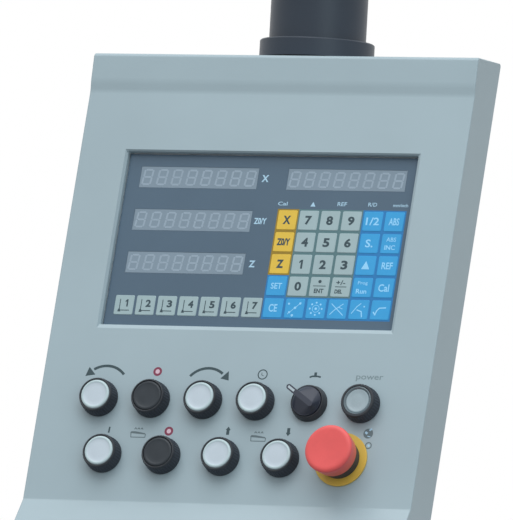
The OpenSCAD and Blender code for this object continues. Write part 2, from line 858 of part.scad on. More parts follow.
module stop_mushroom() {
    rim = mushroom_d / 2;
    foot = rim - mushroom_taper;
    hollow = foot - mushroom_wall;
    color([0.9, 0.35, 0.35]) on_face(STOP_PLACE) rotate_extrude() polygon([
        [spindle_r + run_gap, mushroom_hub_n],
        [pocket_r - 0.6, mushroom_hub_n],
        [pocket_r - 0.6, mushroom_hub_n + 1.5],
        [hollow, mushroom_hub_n + 1.5],
        [hollow, mushroom_bottom_n],
        [foot, mushroom_bottom_n],
        [foot + 0.2, mushroom_bottom_n + 0.4],
        [rim - 0.1, mushroom_top_n - 3.6],
        [rim, mushroom_top_n - 2.6],
        [rim - 0.3, mushroom_top_n - 1.6],
        [rim - 1, mushroom_top_n - 0.8],
        [rim - 2.2, mushroom_top_n - 0.2],
        [rim - 4, mushroom_top_n],
        [0, mushroom_top_n],
        [0, mushroom_hub_n + 6.3],
        [spindle_r + run_gap, mushroom_hub_n + 6.3],
    ]);
}

module stop_spring() {
    color(STEEL) on_face(STOP_PLACE) spring(pocket_r - 0.8, -neck_len + guide_len, mushroom_hub_n - 2);
}

// ---- Behind the face ----

// Hexagonal nuts that hold every control in its hole
module lock_nuts() {
    color(STEEL) for (p = CONTROL_PLACES) on_face(p) difference() {
        translate([0, 0, -sheet - nut_h]) cylinder(h = nut_h, r = neck_r + nut_rim, $fn = 6);
        rod(neck_r, -sheet - nut_h - pass, pass);
    }
}

// Contact blocks on the ends of the necks, each with a well for its stem
module contact_blocks() {
    well_r = stop_stem_r + 1;
    well_deep = stop_travel + 9;
    color([0.3, 0.32, 0.36]) for (p = CONTROL_PLACES) on_face(p) difference() {
        plate(block_w, block_h, -neck_len - block_depth, -neck_len);
        rod(well_r, -neck_len - well_deep, -neck_len + pass);
        for (y = [-1, 1], x = [-1, 1]) translate([x * block_w / 4, y * (block_h / 2 - 5), 0])
            rod(1.8, -neck_len - block_depth - pass, -neck_len - block_depth + 3);
    }
}

rail_v = -26;
rail_len = 220;
rail_n = -tray_depth + sheet;
rail_deep = 7.5;

// Top-hat rail on the tray's lower back wall
module terminal_rail() {
    wall = 1;
    color(STEEL) on_face([0, rail_v]) difference() {
        union() {
            plate(rail_len, 27, rail_n, rail_n + rail_deep);
            plate(rail_len, 35, rail_n + rail_deep - wall, rail_n + rail_deep);
        }
        plate(rail_len + pass, 27 - 2 * wall, rail_n + wall, rail_n + rail_deep + pass);
    }
}

// Row of terminal blocks clipped on the rail
module terminal_strip() {
    blocks = 24;
    pitch = 6.2;
    color("lightgray") on_face([0, rail_v]) for (k = [0:blocks - 1])
        translate([(k - (blocks - 1) / 2) * pitch, 0, 0]) difference() {
            plate(pitch, 38, rail_n + rail_deep, rail_n + rail_deep + 24);
            for (y = [-1, 1]) translate([0, y * 13, 0]) rod(2, rail_n + rail_deep + 20, rail_n + rail_deep + 24 + pass);
        }
}

suspension_tube();
retaining_collar();
collar_screw();
stop_pin();
swivel_flange();
flange_gasket();
swivel_liner();
ring_nut();
thrust_washer();
roof_plate();
stop_block();
front_shell();
rear_housing();
housing_screws();
rear_cover();
cover_screws();
readout_frame();
readout_overlay();
display_panes();
display_x();
display_y();
display_z();
display_message();
readout_board();
readout_standoffs();
readout_case();
readout_sockets();
readout_nuts();
for (i = [0:len(BUTTONS) - 1]) {
    button_bezel(i);
    button_cap(i);
}
selector_bezel();
selector_knob();
lamp_bezel();
lamp_lens();
stop_disc();
stop_collar();
stop_stem();
stop_mushroom();
stop_spring();
lock_nuts();
contact_blocks();
button_springs();
terminal_rail();
terminal_strip();
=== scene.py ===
"""Looks of a machine control pendant: paint, plastics, printed film, keys, legends, lamps and camera."""

import functools
import json
import math

import bmesh
import bpy
from bpy.types import Operator, PropertyGroup
from mathutils import Matrix, Vector

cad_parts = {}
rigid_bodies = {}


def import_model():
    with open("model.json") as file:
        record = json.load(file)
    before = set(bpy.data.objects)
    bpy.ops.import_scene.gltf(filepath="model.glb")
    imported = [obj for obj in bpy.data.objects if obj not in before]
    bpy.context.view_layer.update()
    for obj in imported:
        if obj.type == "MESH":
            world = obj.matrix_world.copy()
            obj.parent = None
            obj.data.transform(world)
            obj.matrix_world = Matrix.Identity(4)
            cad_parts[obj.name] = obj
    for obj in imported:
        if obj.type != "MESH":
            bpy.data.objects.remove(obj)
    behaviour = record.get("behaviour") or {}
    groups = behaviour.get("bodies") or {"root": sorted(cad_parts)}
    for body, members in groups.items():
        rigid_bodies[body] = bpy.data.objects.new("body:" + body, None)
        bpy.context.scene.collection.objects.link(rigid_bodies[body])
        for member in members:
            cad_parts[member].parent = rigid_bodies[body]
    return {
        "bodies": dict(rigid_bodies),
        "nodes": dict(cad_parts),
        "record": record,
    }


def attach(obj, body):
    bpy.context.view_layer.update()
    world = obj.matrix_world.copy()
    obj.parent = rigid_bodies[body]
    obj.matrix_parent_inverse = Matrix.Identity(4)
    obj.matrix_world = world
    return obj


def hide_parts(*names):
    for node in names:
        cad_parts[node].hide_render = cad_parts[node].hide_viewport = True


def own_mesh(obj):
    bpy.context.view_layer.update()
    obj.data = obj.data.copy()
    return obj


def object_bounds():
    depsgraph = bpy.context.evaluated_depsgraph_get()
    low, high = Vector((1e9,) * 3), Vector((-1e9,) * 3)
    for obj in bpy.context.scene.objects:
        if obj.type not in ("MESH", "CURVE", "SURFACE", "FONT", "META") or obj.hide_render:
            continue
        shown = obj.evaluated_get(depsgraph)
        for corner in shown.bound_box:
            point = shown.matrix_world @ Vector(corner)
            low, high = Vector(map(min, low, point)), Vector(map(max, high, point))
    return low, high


bl_info = {
    "name": "Control pendant",
    "version": (1, 0, 0),
    "blender": (4, 5, 0),
    "location": "3D View > Sidebar > Pendant",
    "description": "Builds the finishes and fine pieces of a machine control pendant",
    "category": "Object",
}

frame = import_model()
CAD_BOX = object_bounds()
NODES = frame["nodes"]
JOINTS = {joint["name"]: joint for joint in frame["record"]["behaviour"]["joints"]}
BODIES = frame["record"]["behaviour"]["bodies"]
SLOTS = {part["node"]: part["material_slot"] for part in frame["record"]["subparts"]}
BUTTONS = [name.removeprefix("button_") for name in frame["bodies"] if name.startswith("button_")]
MM = 0.001


def axes_matrix(x, y, z, origin):
    """The placing of something that has these axes and this origin."""
    return Matrix((*zip(x, y, z, origin), (0, 0, 0, 1)))


# The face's own frame: x to the right, v up the face, n out of it, zero at the face's lower end
OUT = -Vector(JOINTS["selector_turn"]["axis"])
UP = Vector((0, OUT.z, -OUT.y))
UPPER_ROW = 86.5 * MM
FACE_ZERO = Vector(JOINTS["selector_turn"]["pos_m"]) - UP * UPPER_ROW
FACE_ZERO.x = 0
FACE = axes_matrix((1, 0, 0), UP, OUT, FACE_ZERO)
TO_FACE = FACE.inverted()
FACE_MM = FACE @ Matrix.Scale(MM, 4)


def on_face(point):
    """A point of the scene in the face's frame, in millimetres."""
    return TO_FACE @ point / MM


def off_face(x, v, n):
    """A point of the face's frame, in millimetres, as a point of the scene."""
    return FACE @ (Vector((x, v, n)) * MM)


def face_box(node):
    """A CAD node's lowest and highest corners in the face's frame, in millimetres."""
    points = [TO_FACE @ vertex.co for vertex in NODES[node].data.vertices]
    return [Vector([pick(p[i] for p in points) for i in range(3)]) / MM for pick in (min, max)]


def face_centre(node):
    low, high = face_box(node)
    return (low + high) / 2


def round_part(node):
    """A turned CAD node's centre on the face, its radius, and its lowest and highest levels."""
    low, high = face_box(node)
    return ((low.x + high.x) / 2, (low.y + high.y) / 2), (high.x - low.x) / 2, low.z, high.z


# ---- Sizes and colours that a user would change ----


def colour(name, description, value):
    return bpy.props.FloatVectorProperty(
        name=name, description=description, default=value, subtype="COLOR", min=0, max=1
    )


def length(name, description, value):
    return bpy.props.FloatProperty(
        name=name, description=description, default=value, unit="LENGTH", precision=5, min=0
    )


def angle(name, description, degrees):
    return bpy.props.FloatProperty(
        name=name, description=description, default=math.radians(degrees), subtype="ANGLE"
    )


class PendantColours(PropertyGroup):
    paint: colour("Console paint", "Colour of the console's sheet metal", (0.357, 0.458, 0.508))
    tube: colour("Tube paint", "Colour of the tube and its flange", (0.025, 0.037, 0.055))
    film: colour("Film", "Ground colour of the readout's printed film", (0.080, 0.131, 0.186))
    black: colour("Black plastic", "Colour of the bezels", (0.045, 0.051, 0.060))
    white: colour("White caps", "Colour of the white button caps", (0.54, 0.628, 0.705))
    red: colour("Stop red", "Colour of the emergency stop", (0.80, 0.115, 0.115))
    yellow: colour("Stop yellow", "Colour of the disc behind the emergency stop", (0.68, 0.45, 0.08))


class PendantSizes(PropertyGroup):
    fold: length("Side folds", "Rounding of the folds between the console's face and sides", 1.2 * MM)
    key_side: length("Key size", "Side of a membrane key", 16.7 * MM)
    key_corner: length("Key corner", "Radius of a membrane key's corners", 1.2 * MM)
    figure_bar: length("Figure bar", "Width of the bars that make up a display's figures", 1.6 * MM)
    rib_width: length("Rib width", "Width of the fine ribs round the bezels", 0.9 * MM)
    rib_depth: length("Rib depth", "Depth of the fine ribs round the bezels", 0.7 * MM)
    knob_edge: length("Knob edge", "Rounding of the selector knob's edges", 0.6 * MM)


class PendantCamera(PropertyGroup):
    azimuth: angle("Azimuth", "Camera's turn to the right", 23.9)
    elevation: angle("Elevation", "Camera's height angle", -4.7)
    roll: angle("Roll", "Camera's lean to its left", 3.2)
    distance: length("Distance", "Distance from the camera to the console", 9.624)
    lens: bpy.props.FloatProperty(name="Lens", description="Focal length", default=838.7, unit="CAMERA")


# ---- Node trees ----


def add_node(tree, kind, inputs=None, **settings):
    """A node with its settings made and its inputs set, or linked to sockets or to nodes' first outputs."""
    node = tree.nodes.new(kind)
    for key, value in settings.items():
        setattr(node, key, value)
    for key, value in (inputs or {}).items():
        for source in value if isinstance(value, list) else [value]:
            if isinstance(source, bpy.types.Node):
                source = source.outputs[0]
            if isinstance(source, bpy.types.NodeSocket):
                tree.links.new(source, node.inputs[key])
            else:
                node.inputs[key].default_value = source
    return node


# ---- Materials ----

MATERIALS = {}
# Depth of the grain's relief, in metres, and how far the grain moves the roughness either way
RELIEF = 0.0004
ROUGHNESS_SWING = 0.05


def new_material(name):
    material = bpy.data.materials.new(name)
    material.use_nodes = True
    tree = material.node_tree
    return material, tree, tree.nodes["Principled BSDF"]


def object_noise(tree, scale, detail=4):
    """The factor output of a noise over the piece's own place."""
    place = add_node(tree, "ShaderNodeTexCoord").outputs["Object"]
    sizes = {"Vector": place, "Scale": scale, "Detail": detail, "Roughness": 0.55}
    return add_node(tree, "ShaderNodeTexNoise", sizes).outputs["Fac"]


def ramp(tree, factor, low, high):
    """A colour that runs from low to high over the middle of the factor's range."""
    node = add_node(tree, "ShaderNodeValToRGB", {"Fac": factor})
    for element, position, value in zip(node.color_ramp.elements, (0.3, 0.7), (low, high)):
        element.position = position
        element.color = (*value, 1)
    return node.outputs["Color"]


def finish(name, base, roughness, variation, patches, grains, depth=0.03, specular=0.5, metal=0):
    """A surface with slow patches of colour, and a fine grain in its roughness and relief."""
    material, tree, shader = new_material(name)
    tints = [[min(1.0, part * factor) for part in base] for factor in (1 - variation, 1 + variation)]
    grain = object_noise(tree, grains, 2)
    level = add_node(tree, "ShaderNodeMapRange", {
        "Value": grain, "From Min": 0.25, "From Max": 0.75,
        "To Min": max(roughness - ROUGHNESS_SWING, 0.02), "To Max": roughness + ROUGHNESS_SWING,
    })
    relief = add_node(tree, "ShaderNodeBump", {"Strength": depth, "Distance": RELIEF, "Height": grain})
    tree.links.new(ramp(tree, object_noise(tree, patches), *tints), shader.inputs["Base Color"])
    tree.links.new(level.outputs["Result"], shader.inputs["Roughness"])
    tree.links.new(relief.outputs["Normal"], shader.inputs["Normal"])
    shader.inputs["Specular IOR Level"].default_value = specular
    shader.inputs["Metallic"].default_value = metal
    return material


def screen(*levels):
    """A linear colour from its red, green and blue levels on a screen, 0 to 255."""
    return tuple(((level / 255 + 0.055) / 1.055) ** 2.4 for level in levels)


# Keys, their grounds and the printing inks, as red, green and blue levels on a screen
PRINT_COLOURS = {
    "key_yellow": (224, 189, 76),
    "key_grey": (160, 182, 187),
    "key_blue": (60, 160, 218),
    "ground_olive": (150, 125, 45),
    "ground_green": (88, 120, 126),
    "ground_blue": (45, 122, 182),
    "segment": (148, 166, 181),
    "ink_dark": (58, 76, 84),
    "ink_light": (150, 212, 250),
    "ink_white": (172, 208, 230),
    "ink_slate": (62, 80, 86),
    "ink_mid": (102, 118, 124),
    "ink_faint": (126, 144, 150),
    "ink_red": (132, 62, 84),
    "ink_pink": (216, 188, 202),
    "index_pale": (178, 192, 200),
}


def make_materials(colours):
    """Every finish: one for each of the record's slots, and those that only fine pieces wear."""
    # Colour, roughness, its variation, patches and grains to the metre, grain depth, specular level, metal
    table = {
        "console_paint": (colours.paint, 0.36, 0.03, 9, 1100, 0.05, 0.35),
        "tube_paint": (colours.tube, 0.42, 0.08, 12, 900, 0.03, 0.35),
        "steel": ((0.52, 0.53, 0.54), 0.34, 0.12, 60, 1600, 0.05, 0.5, 1),
        "bearing_plastic": ((0.62, 0.57, 0.42), 0.5, 0.06, 40, 900),
        "bearing_bronze": ((0.50, 0.34, 0.14), 0.38, 0.1, 40, 900, 0.03, 0.5, 1),
        "gasket_rubber": ((0.025, 0.025, 0.028), 0.75, 0.1, 40, 1500, 0.12),
        "overlay_film": (colours.film, 0.36, 0.04, 12, 2200, 0.05, 0.3),
        "pane_smoke": ((0.203, 0.277, 0.348), 0.14, 0.04, 16, 700, 0.01),
        "display_grey": ((0.24, 0.31, 0.38), 0.4, 0.06, 40, 900),
        "frame_metal": ((0.58, 0.59, 0.60), 0.4, 0.08, 30, 1500, 0.03, 0.5, 1),
        "board_green": ((0.02, 0.13, 0.05), 0.3, 0.15, 120, 900),
        "standoff_brass": ((0.62, 0.45, 0.18), 0.32, 0.08, 60, 900, 0.03, 0.5, 1),
        "black_plastic": (colours.black, 0.42, 0.12, 60, 1800, 0.06, 0.2),
        "white_cap": (colours.white, 0.3, 0.03, 60, 1500, 0.02, 0.3),
        # the white caps' rim: a painted highlight, the paler teal-white of a lit rounded shoulder
        "cap_rim_painted_highlight": (screen(186, 206, 212), 0.3, 0.03, 60, 1500, 0.02, 0.3),
        "lamp_rim": (screen(96, 112, 120), 0.2, 0.05, 60, 1500, 0.02),
        "black_cap": (screen(54, 60, 66), 0.34, 0.1, 60, 1500, 0.03, 0.2),
        "knob": (screen(48, 54, 68), 0.4, 0.1, 60, 1800, 0.05, 0.4),
        "lamp_grey": (screen(156, 174, 182), 0.25, 0.05, 80, 900, 0.02, 0.3),
        "disc_yellow": (colours.yellow, 0.38, 0.05, 60, 1500, 0.03, 0.3),
        "mushroom_red": (colours.red, 0.34, 0.05, 60, 1400, 0.03, 0.3),
        "block_grey": ((0.06, 0.065, 0.075), 0.45, 0.1, 60, 1500),
        "terminal_grey": ((0.36, 0.37, 0.35), 0.45, 0.08, 60, 1500),
    }
    for name, levels in PRINT_COLOURS.items():
        table[name] = (screen(*levels), 0.4, 0.03, 60, 2200, 0.03, 0.25)
    for name, values in table.items():
        MATERIALS[name] = finish(name, *values)
    MATERIALS["spring_steel"] = MATERIALS["steel"]
    MATERIALS["case_metal"] = MATERIALS["frame_metal"]


class PENDANT_OT_finishes(Operator):
    """Make the materials and give every CAD node its own"""

    bl_idname = "pendant.finishes"
    bl_label = "Finishes"

    def execute(self, context):
        make_materials(context.scene.pendant_colours)
        for node, slot_name in SLOTS.items():
            worn = NODES[node].data.materials
            worn.clear()
            worn.append(MATERIALS[slot_name])
        return {"FINISHED"}


# ---- Making meshes ----


def linked(name, data):
    """An object in the scene that carries the data."""
    thing = bpy.data.objects.new(name, data)
    bpy.context.collection.objects.link(thing)
    return thing


def settled(carrier):
    """The plain mesh that an object's curve or modifiers make. The object itself goes."""
    seen = carrier.evaluated_get(bpy.context.evaluated_depsgraph_get())
    mesh = bpy.data.meshes.new_from_object(seen)
    bpy.data.objects.remove(carrier)
    return mesh


def even_normals(mesh):
    """The mesh with its shading led by its wide faces, so that flat sheets stay flat."""
    carrier = linked(mesh.name, mesh)
    modifier = carrier.modifiers.new("even", "WEIGHTED_NORMAL")
    modifier.keep_sharp = True
    modifier.weight = 100
    return settled(carrier)


def piece(name, bm, body, slot_name, finish_name=None, smooth=None, even=False):
    """A piece from a bmesh in place, riding on its body, in its slot's finish unless another is named."""
    mesh = bpy.data.meshes.new(name)
    bm.to_mesh(mesh)
    bm.free()
    if smooth is not None:
        mesh.shade_smooth()
        mesh.set_sharp_from_angle(angle=math.radians(smooth))
    if even:
        mesh = even_normals(mesh)
    mesh.materials.clear()
    mesh.materials.append(MATERIALS[finish_name or slot_name])
    thing = linked(name, mesh)
    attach(thing, body)
    return thing


def face_piece(name, bm, body, slot_name, finish_name=None, smooth=None):
    """A piece from a bmesh drawn in millimetres in the face's frame."""
    bm.transform(FACE_MM)
    return piece(name, bm, body, slot_name, finish_name, smooth)


def circle_points(centre, radius, start=0.0, end=360.0, steps=24):
    """Points from one angle to another, both ends included."""
    angles = [math.radians(start + (end - start) * i / steps) for i in range(steps + 1)]
    return [(centre[0] + radius * math.cos(a), centre[1] + radius * math.sin(a)) for a in angles]


def close_up(bm, distance=0.001):
    """Joins what lies together and turns the faces outwards."""
    bmesh.ops.remove_doubles(bm, verts=bm.verts, dist=distance)
    bmesh.ops.recalc_face_normals(bm, faces=bm.faces)


# Thickness of an ink, and the height between inks that cross, in millimetres
INK = 0.05
STEP = 0.005


class Ink:
    """Marks of one ink, drawn about a place on the face and up from a level."""

    def __init__(self, low, rise=INK):
        self.bm = bmesh.new()
        self.low = low
        self.high = low + rise
        self.place = (0, 0)

    def line(self, points, level):
        """New vertices at points about the place."""
        return [self.bm.verts.new((self.place[0] + x, self.place[1] + v, level)) for x, v in points]

    def area(self, outline, high=None):
        """A straight-sided solid over a plane outline."""
        base, top = self.line(outline, self.low), self.line(outline, self.high if high is None else high)
        self.bm.faces.new(top)
        self.bm.faces.new(base[::-1])
        for i in range(len(base)):
            k = (i + 1) % len(base)
            self.bm.faces.new((base[i], base[k], top[k], top[i]))

    def disc(self, centre, radius, steps=24, high=None):
        self.area(circle_points(centre, radius, steps=steps)[:-1], high)

    def bar(self, start, end, width, high=None):
        """A straight stroke."""
        a, b = Vector(start), Vector(end)
        side = (b - a).orthogonal().normalized() * width / 2
        self.area([tuple(p) for p in (a + side, a - side, b - side, b + side)], high)

    def stroke(self, points, width, lift=0):
        """A bent stroke: straight bars with their corners filled, each a step apart in height."""
        high = self.high + lift
        for i in range(len(points) - 1):
            self.bar(points[i], points[i + 1], width, high - i % 2 * STEP)
        for point in points[1:-1]:
            self.disc(point, width / 2, 10, high - 2 * STEP)

    def arc(self, centre, radius, width, start=0, end=360, steps=24):
        """A curved stroke, closed where it goes right round."""
        sides = [circle_points(centre, radius + way * width / 2, start, end, steps) for way in (1, -1)]
        lines = [self.line(side, level) for level in (self.low, self.high) for side in sides]
        low_out, low_in, high_out, high_in = lines
        make = self.bm.faces.new
        for i in range(steps):
            k = i + 1
            make((high_in[i], high_out[i], high_out[k], high_in[k]))
            make((low_out[i], low_in[i], low_in[k], low_out[k]))
            make((low_out[i], low_out[k], high_out[k], high_out[i]))
            make((low_in[k], low_in[i], high_in[i], high_in[k]))
        if end - start < 360:
            make((low_in[0], low_out[0], high_out[0], high_in[0]))
            make((low_out[-1], low_in[-1], high_in[-1], high_out[-1]))
        else:
            bmesh.ops.remove_doubles(self.bm, verts=sum(lines, []), dist=0.0001)

    def words(self, text, centre, height, width, bold):
        """Lettering whose ink fills the given height and width."""
        curve = bpy.data.curves.new("words", "FONT")
        curve.body = text
        curve.offset = bold
        curve.extrude = 0.5
        curve.resolution_u = 3
        mesh = settled(linked("words", curve))
        lows, highs = ([pick(v.co[i] for v in mesh.vertices) for i in range(3)] for pick in (min, max))
        middle = Vector([-(low + high) / 2 for low, high in zip(lows, highs)])
        sizes = (width, height, self.high - self.low)
        grow = [size / (high - low) for size, low, high in zip(sizes, lows, highs)]
        place = (self.place[0] + centre[0], self.place[1] + centre[1], (self.low + self.high) / 2)
        mesh.transform(Matrix.Translation(place) @ Matrix.Diagonal((*grow, 1)) @ Matrix.Translation(middle))
        letters = bmesh.new()
        letters.from_mesh(mesh)
        close_up(letters, 0.0001)
        letters.to_mesh(mesh)
        letters.free()
        self.bm.from_mesh(mesh)
        bpy.data.meshes.remove(mesh)

    def figure(self, text, centre, height, width):
        """A bold figure; the one is drawn with its flag."""
        if text != "1":
            self.words(text, centre, height, width, 0.04)
            return
        x, v, w, h = *centre, width / 2, height / 2
        self.area([(x + w / 2, v - h), (x + w / 2, v + h), (x - w / 4, v + h), (x - w, v + h * 0.5),
                   (x - w * 0.8, v + h * 0.2), (x - w / 4, v + h * 0.5), (x - w / 4, v - h)])

    def done(self, name, finish_name, slot_name, body="console"):
        face_piece(name, self.bm, body, slot_name, finish_name)


def lathe(bm, profile, steps, centre):
    """A turned shape about the n axis through the centre, from a closed profile of (radius, level)."""
    rings = []
    for radius, level in profile:
        if radius == 0:
            rings.append([bm.verts.new((*centre, level))] * (steps + 1))
            continue
        ring = [bm.verts.new((x, v, level)) for x, v in circle_points(centre, radius, steps=steps)[:-1]]
        rings.append(ring + ring[:1])
    for one, two in zip(rings, rings[1:] + rings[:1]):
        for i in range(steps):
            corners = list(dict.fromkeys((one[i], one[i + 1], two[i + 1], two[i])))
            if len(corners) > 2:
                bm.faces.new(corners)
    bmesh.ops.recalc_face_normals(bm, faces=bm.faces)


# How near each other a CAD node's loose corners lie, in metres
WELD = 0.002 * MM


def joined_copy(node):
    """A bmesh of a CAD node with its loose triangles joined."""
    bm = bmesh.new()
    bm.from_mesh(NODES[node].data)
    bmesh.ops.remove_doubles(bm, verts=bm.verts, dist=WELD)
    bm.normal_update()
    return bm


def merged_copy(node):
    """A bmesh of a CAD node with its loose triangles joined and its flat faces made whole."""
    bm = joined_copy(node)
    bmesh.ops.dissolve_limit(
        bm, angle_limit=math.radians(0.3), verts=bm.verts, edges=bm.edges, use_dissolve_boundaries=False
    )
    bm.normal_update()
    return bm


def sharp(edge, degrees=30):
    return len(edge.link_faces) == 2 and edge.calc_face_angle(0) > math.radians(degrees)


def round_edges(bm, edges, width, segments=3, clamp=False):
    """Rounds edges to a width in millimetres."""
    bmesh.ops.bevel(bm, geom=edges, offset=width * MM, segments=segments, profile=0.5, affect="EDGES",
                    clamp_overlap=clamp)


# ---- Repeated shapes, made by node trees ----


def new_tree(name, sizes):
    """A maker of nodes in a new geometry tree, and the sockets of the tree's places and sizes."""
    tree = bpy.data.node_groups.new(name, "GeometryNodeTree")
    tree.interface.new_socket("Places", in_out="INPUT", socket_type="NodeSocketGeometry")
    for label, default in sizes.items():
        kind = "NodeSocketInt" if isinstance(default, int) else "NodeSocketFloat"
        tree.interface.new_socket(label, in_out="INPUT", socket_type=kind).default_value = default
    tree.interface.new_socket("Shapes", in_out="OUTPUT", socket_type="NodeSocketGeometry")
    node = functools.partial(add_node, tree)
    return node, node("NodeGroupInput").outputs


def end_tree(node, last, finish_name):
    """Ends a tree in real geometry with its material, and returns it."""
    real = node("GeometryNodeRealizeInstances", {"Geometry": last})
    painted = node("GeometryNodeSetMaterial", {"Geometry": real, "Material": MATERIALS[finish_name]})
    return node("NodeGroupOutput", {"Shapes": painted}).id_data


def plates_tree(finish_name):
    """Raised plates with rounded corners and sloped shoulders, one at each place."""
    sizes = {"Width": 1.0, "Height": 1.0, "Corner": 0.1, "Rise": 0.1, "Shoulder": 1.0}
    node, given = new_tree("raised_plates_" + finish_name, sizes)
    sides = {"Width": given["Width"], "Height": given["Height"]}
    outline = node("GeometryNodeCurvePrimitiveQuadrilateral", sides)
    corners = {"Curve": outline, "Radius": given["Corner"], "Count": 4}
    rounded = node("GeometryNodeFilletCurve", corners, mode="POLY")
    sheet = node("GeometryNodeFillCurve", {"Curve": rounded}, mode="NGONS")
    lift = {"Mesh": sheet, "Offset Scale": given["Rise"], "Individual": False}
    raised = node("GeometryNodeExtrudeMesh", lift)
    shoulders = {"Geometry": raised, "Selection": raised.outputs["Top"], "Scale": given["Shoulder"]}
    halves = [node("GeometryNodeFlipFaces", {"Mesh": sheet}), node("GeometryNodeScaleElements", shoulders)]
    plate = node("GeometryNodeJoinGeometry", {"Geometry": halves})
    turn = node("GeometryNodeInputNamedAttribute", {"Name": "turn"}, data_type="FLOAT_VECTOR")
    setting = {"Points": given["Places"], "Instance": plate, "Rotation": turn}
    return end_tree(node, node("GeometryNodeInstanceOnPoints", setting), finish_name)


def ribs_tree(finish_name):
    """A ring of slanting ribs round each place."""
    sizes = {"Count": 40, "Radius": 1.0, "Lean": 0.1, "Rib Width": 0.1, "Rib Depth": 0.1, "Rib Length": 1.0}
    node, given = new_tree("rib_rings", sizes)
    ring = node("GeometryNodeMeshCircle", {"Vertices": given["Count"], "Radius": given["Radius"]})
    sides = {"X": given["Rib Depth"], "Y": given["Rib Width"], "Z": given["Rib Length"]}
    rib = node("GeometryNodeMeshCube", {"Size": node("ShaderNodeCombineXYZ", sides)})
    lean = node("ShaderNodeCombineXYZ", {"Y": given["Lean"]})
    leaning = node("GeometryNodeTransform", {"Geometry": rib, "Rotation": lean})
    place = node("GeometryNodeInputPosition")
    outward = node("FunctionNodeAlignRotationToVector", {"Vector": place}, axis="X")
    ribs = node("GeometryNodeInstanceOnPoints", {"Points": ring, "Instance": leaning, "Rotation": outward})
    rings = node("GeometryNodeInstanceOnPoints", {"Points": given["Places"], "Instance": ribs})
    return end_tree(node, rings, finish_name)


def grown(tree, places, sizes, turns=()):
    """A bmesh in millimetres of what a tree makes at the given places of the face's frame."""
    mesh = bpy.data.meshes.new("places")
    mesh.from_pydata(places, [], [])
    spin = mesh.attributes.new("turn", "FLOAT_VECTOR", "POINT")
    for i, degrees in enumerate(turns):
        spin.data[i].vector = (0, 0, math.radians(degrees))
    carrier = linked("places", mesh)
    grower = carrier.modifiers.new("grow", "NODES")
    grower.node_group = tree
    sockets = {item.name: item.identifier for item in tree.interface.items_tree if item.in_out == "INPUT"}
    for label, value in sizes.items():
        grower[sockets[label]] = value
    shapes = settled(carrier)
    if not shapes.polygons:
        raise RuntimeError("the tree " + tree.name + " made nothing")
    bm = bmesh.new()
    bm.from_mesh(shapes)
    close_up(bm)
    return bm


# ---- Console shell, in millimetres ----

WINDOW_CENTRE = (0.5, 225)
WINDOW_SIZE = (256.5, 149)
WINDOW_CORNER = 1
# The window lip's chamfer: its depth, and its width on each side
LIP = 1.6
LIP_LEFT_DEPTH = 2.5
LIP_SIDES = {"left": 1.7, "right": 2.4, "bottom": 3.5, "top": 1.2}
LIP_CORNER = 0.2
# How near a point has to be to count as lying in a plane or on a line
NEAR = 0.05
# The two bends of the joggled band: CAD height and half width, new height and half width, level, and the
# slopes below and above
BAND_BENDS = [(351.0, 0.3, 350.6, 2.0, 0.0, 0.0, 0.238), (359.0, 0.2, 359.0, 2.6, 2.0, 0.238, 0.0865)]
BEND_DEPTH = 0.15
# Where the strip's front would meet the roof, the size of its CAD fold, and how much wider the fold gets
STRIP_CORNER = (382.2, 4.0)
STRIP_FOLD = 1.8
STRIP_SPREAD = 1.7


def side_folds(bm):
    """The front and roof edges where the shell's sides turn into its face."""
    reach = CAD_BOX[1][0] - 0.01 * MM
    outer = [e for e in bm.edges if sharp(e) and all(abs(v.co.x) > reach for v in e.verts)]
    return [e for e in outer if sum((face.normal for face in e.link_faces), Vector()).y < 0.1]


def widen_bends(bm):
    """Spread the band's two tight bends and the fold at the strip's top, as in thick painted sheet."""
    for vert in bm.verts:
        p = on_face(vert.co)
        for old, half, height, reach, level, below, above in BAND_BENDS:
            if abs(p.y - old) < 2 * half and abs(p.z - level) < BEND_DEPTH:
                along = max(-reach, min(reach, (p.y - old) * reach / half))
                rise = below * along + (above - below) * (along + reach) ** 2 / (4 * reach)
                vert.co = off_face(p.x, height + along, level + rise)
        up, out = p.y - STRIP_CORNER[0], p.z - STRIP_CORNER[1]
        if up > -STRIP_FOLD and -STRIP_FOLD < out < 0:
            up, out = up * STRIP_SPREAD, out * STRIP_SPREAD
            vert.co = off_face(p.x, STRIP_CORNER[0] + up, STRIP_CORNER[1] + out)


def beyond_window(p):
    """How far a point of the face lies outside the window's opening."""
    return max(abs(p[i] - WINDOW_CENTRE[i]) - WINDOW_SIZE[i] / 2 for i in range(2))


def window_lip(bm):
    """The sharp edges in the face's plane that run round the window."""
    ends = {v: on_face(v.co) for v in bm.verts}
    rim = {v for v, p in ends.items() if abs(p.z) < NEAR and beyond_window(p) < 2 * NEAR}
    return [edge for edge in bm.edges if sharp(edge) and rim.issuperset(edge.verts)]


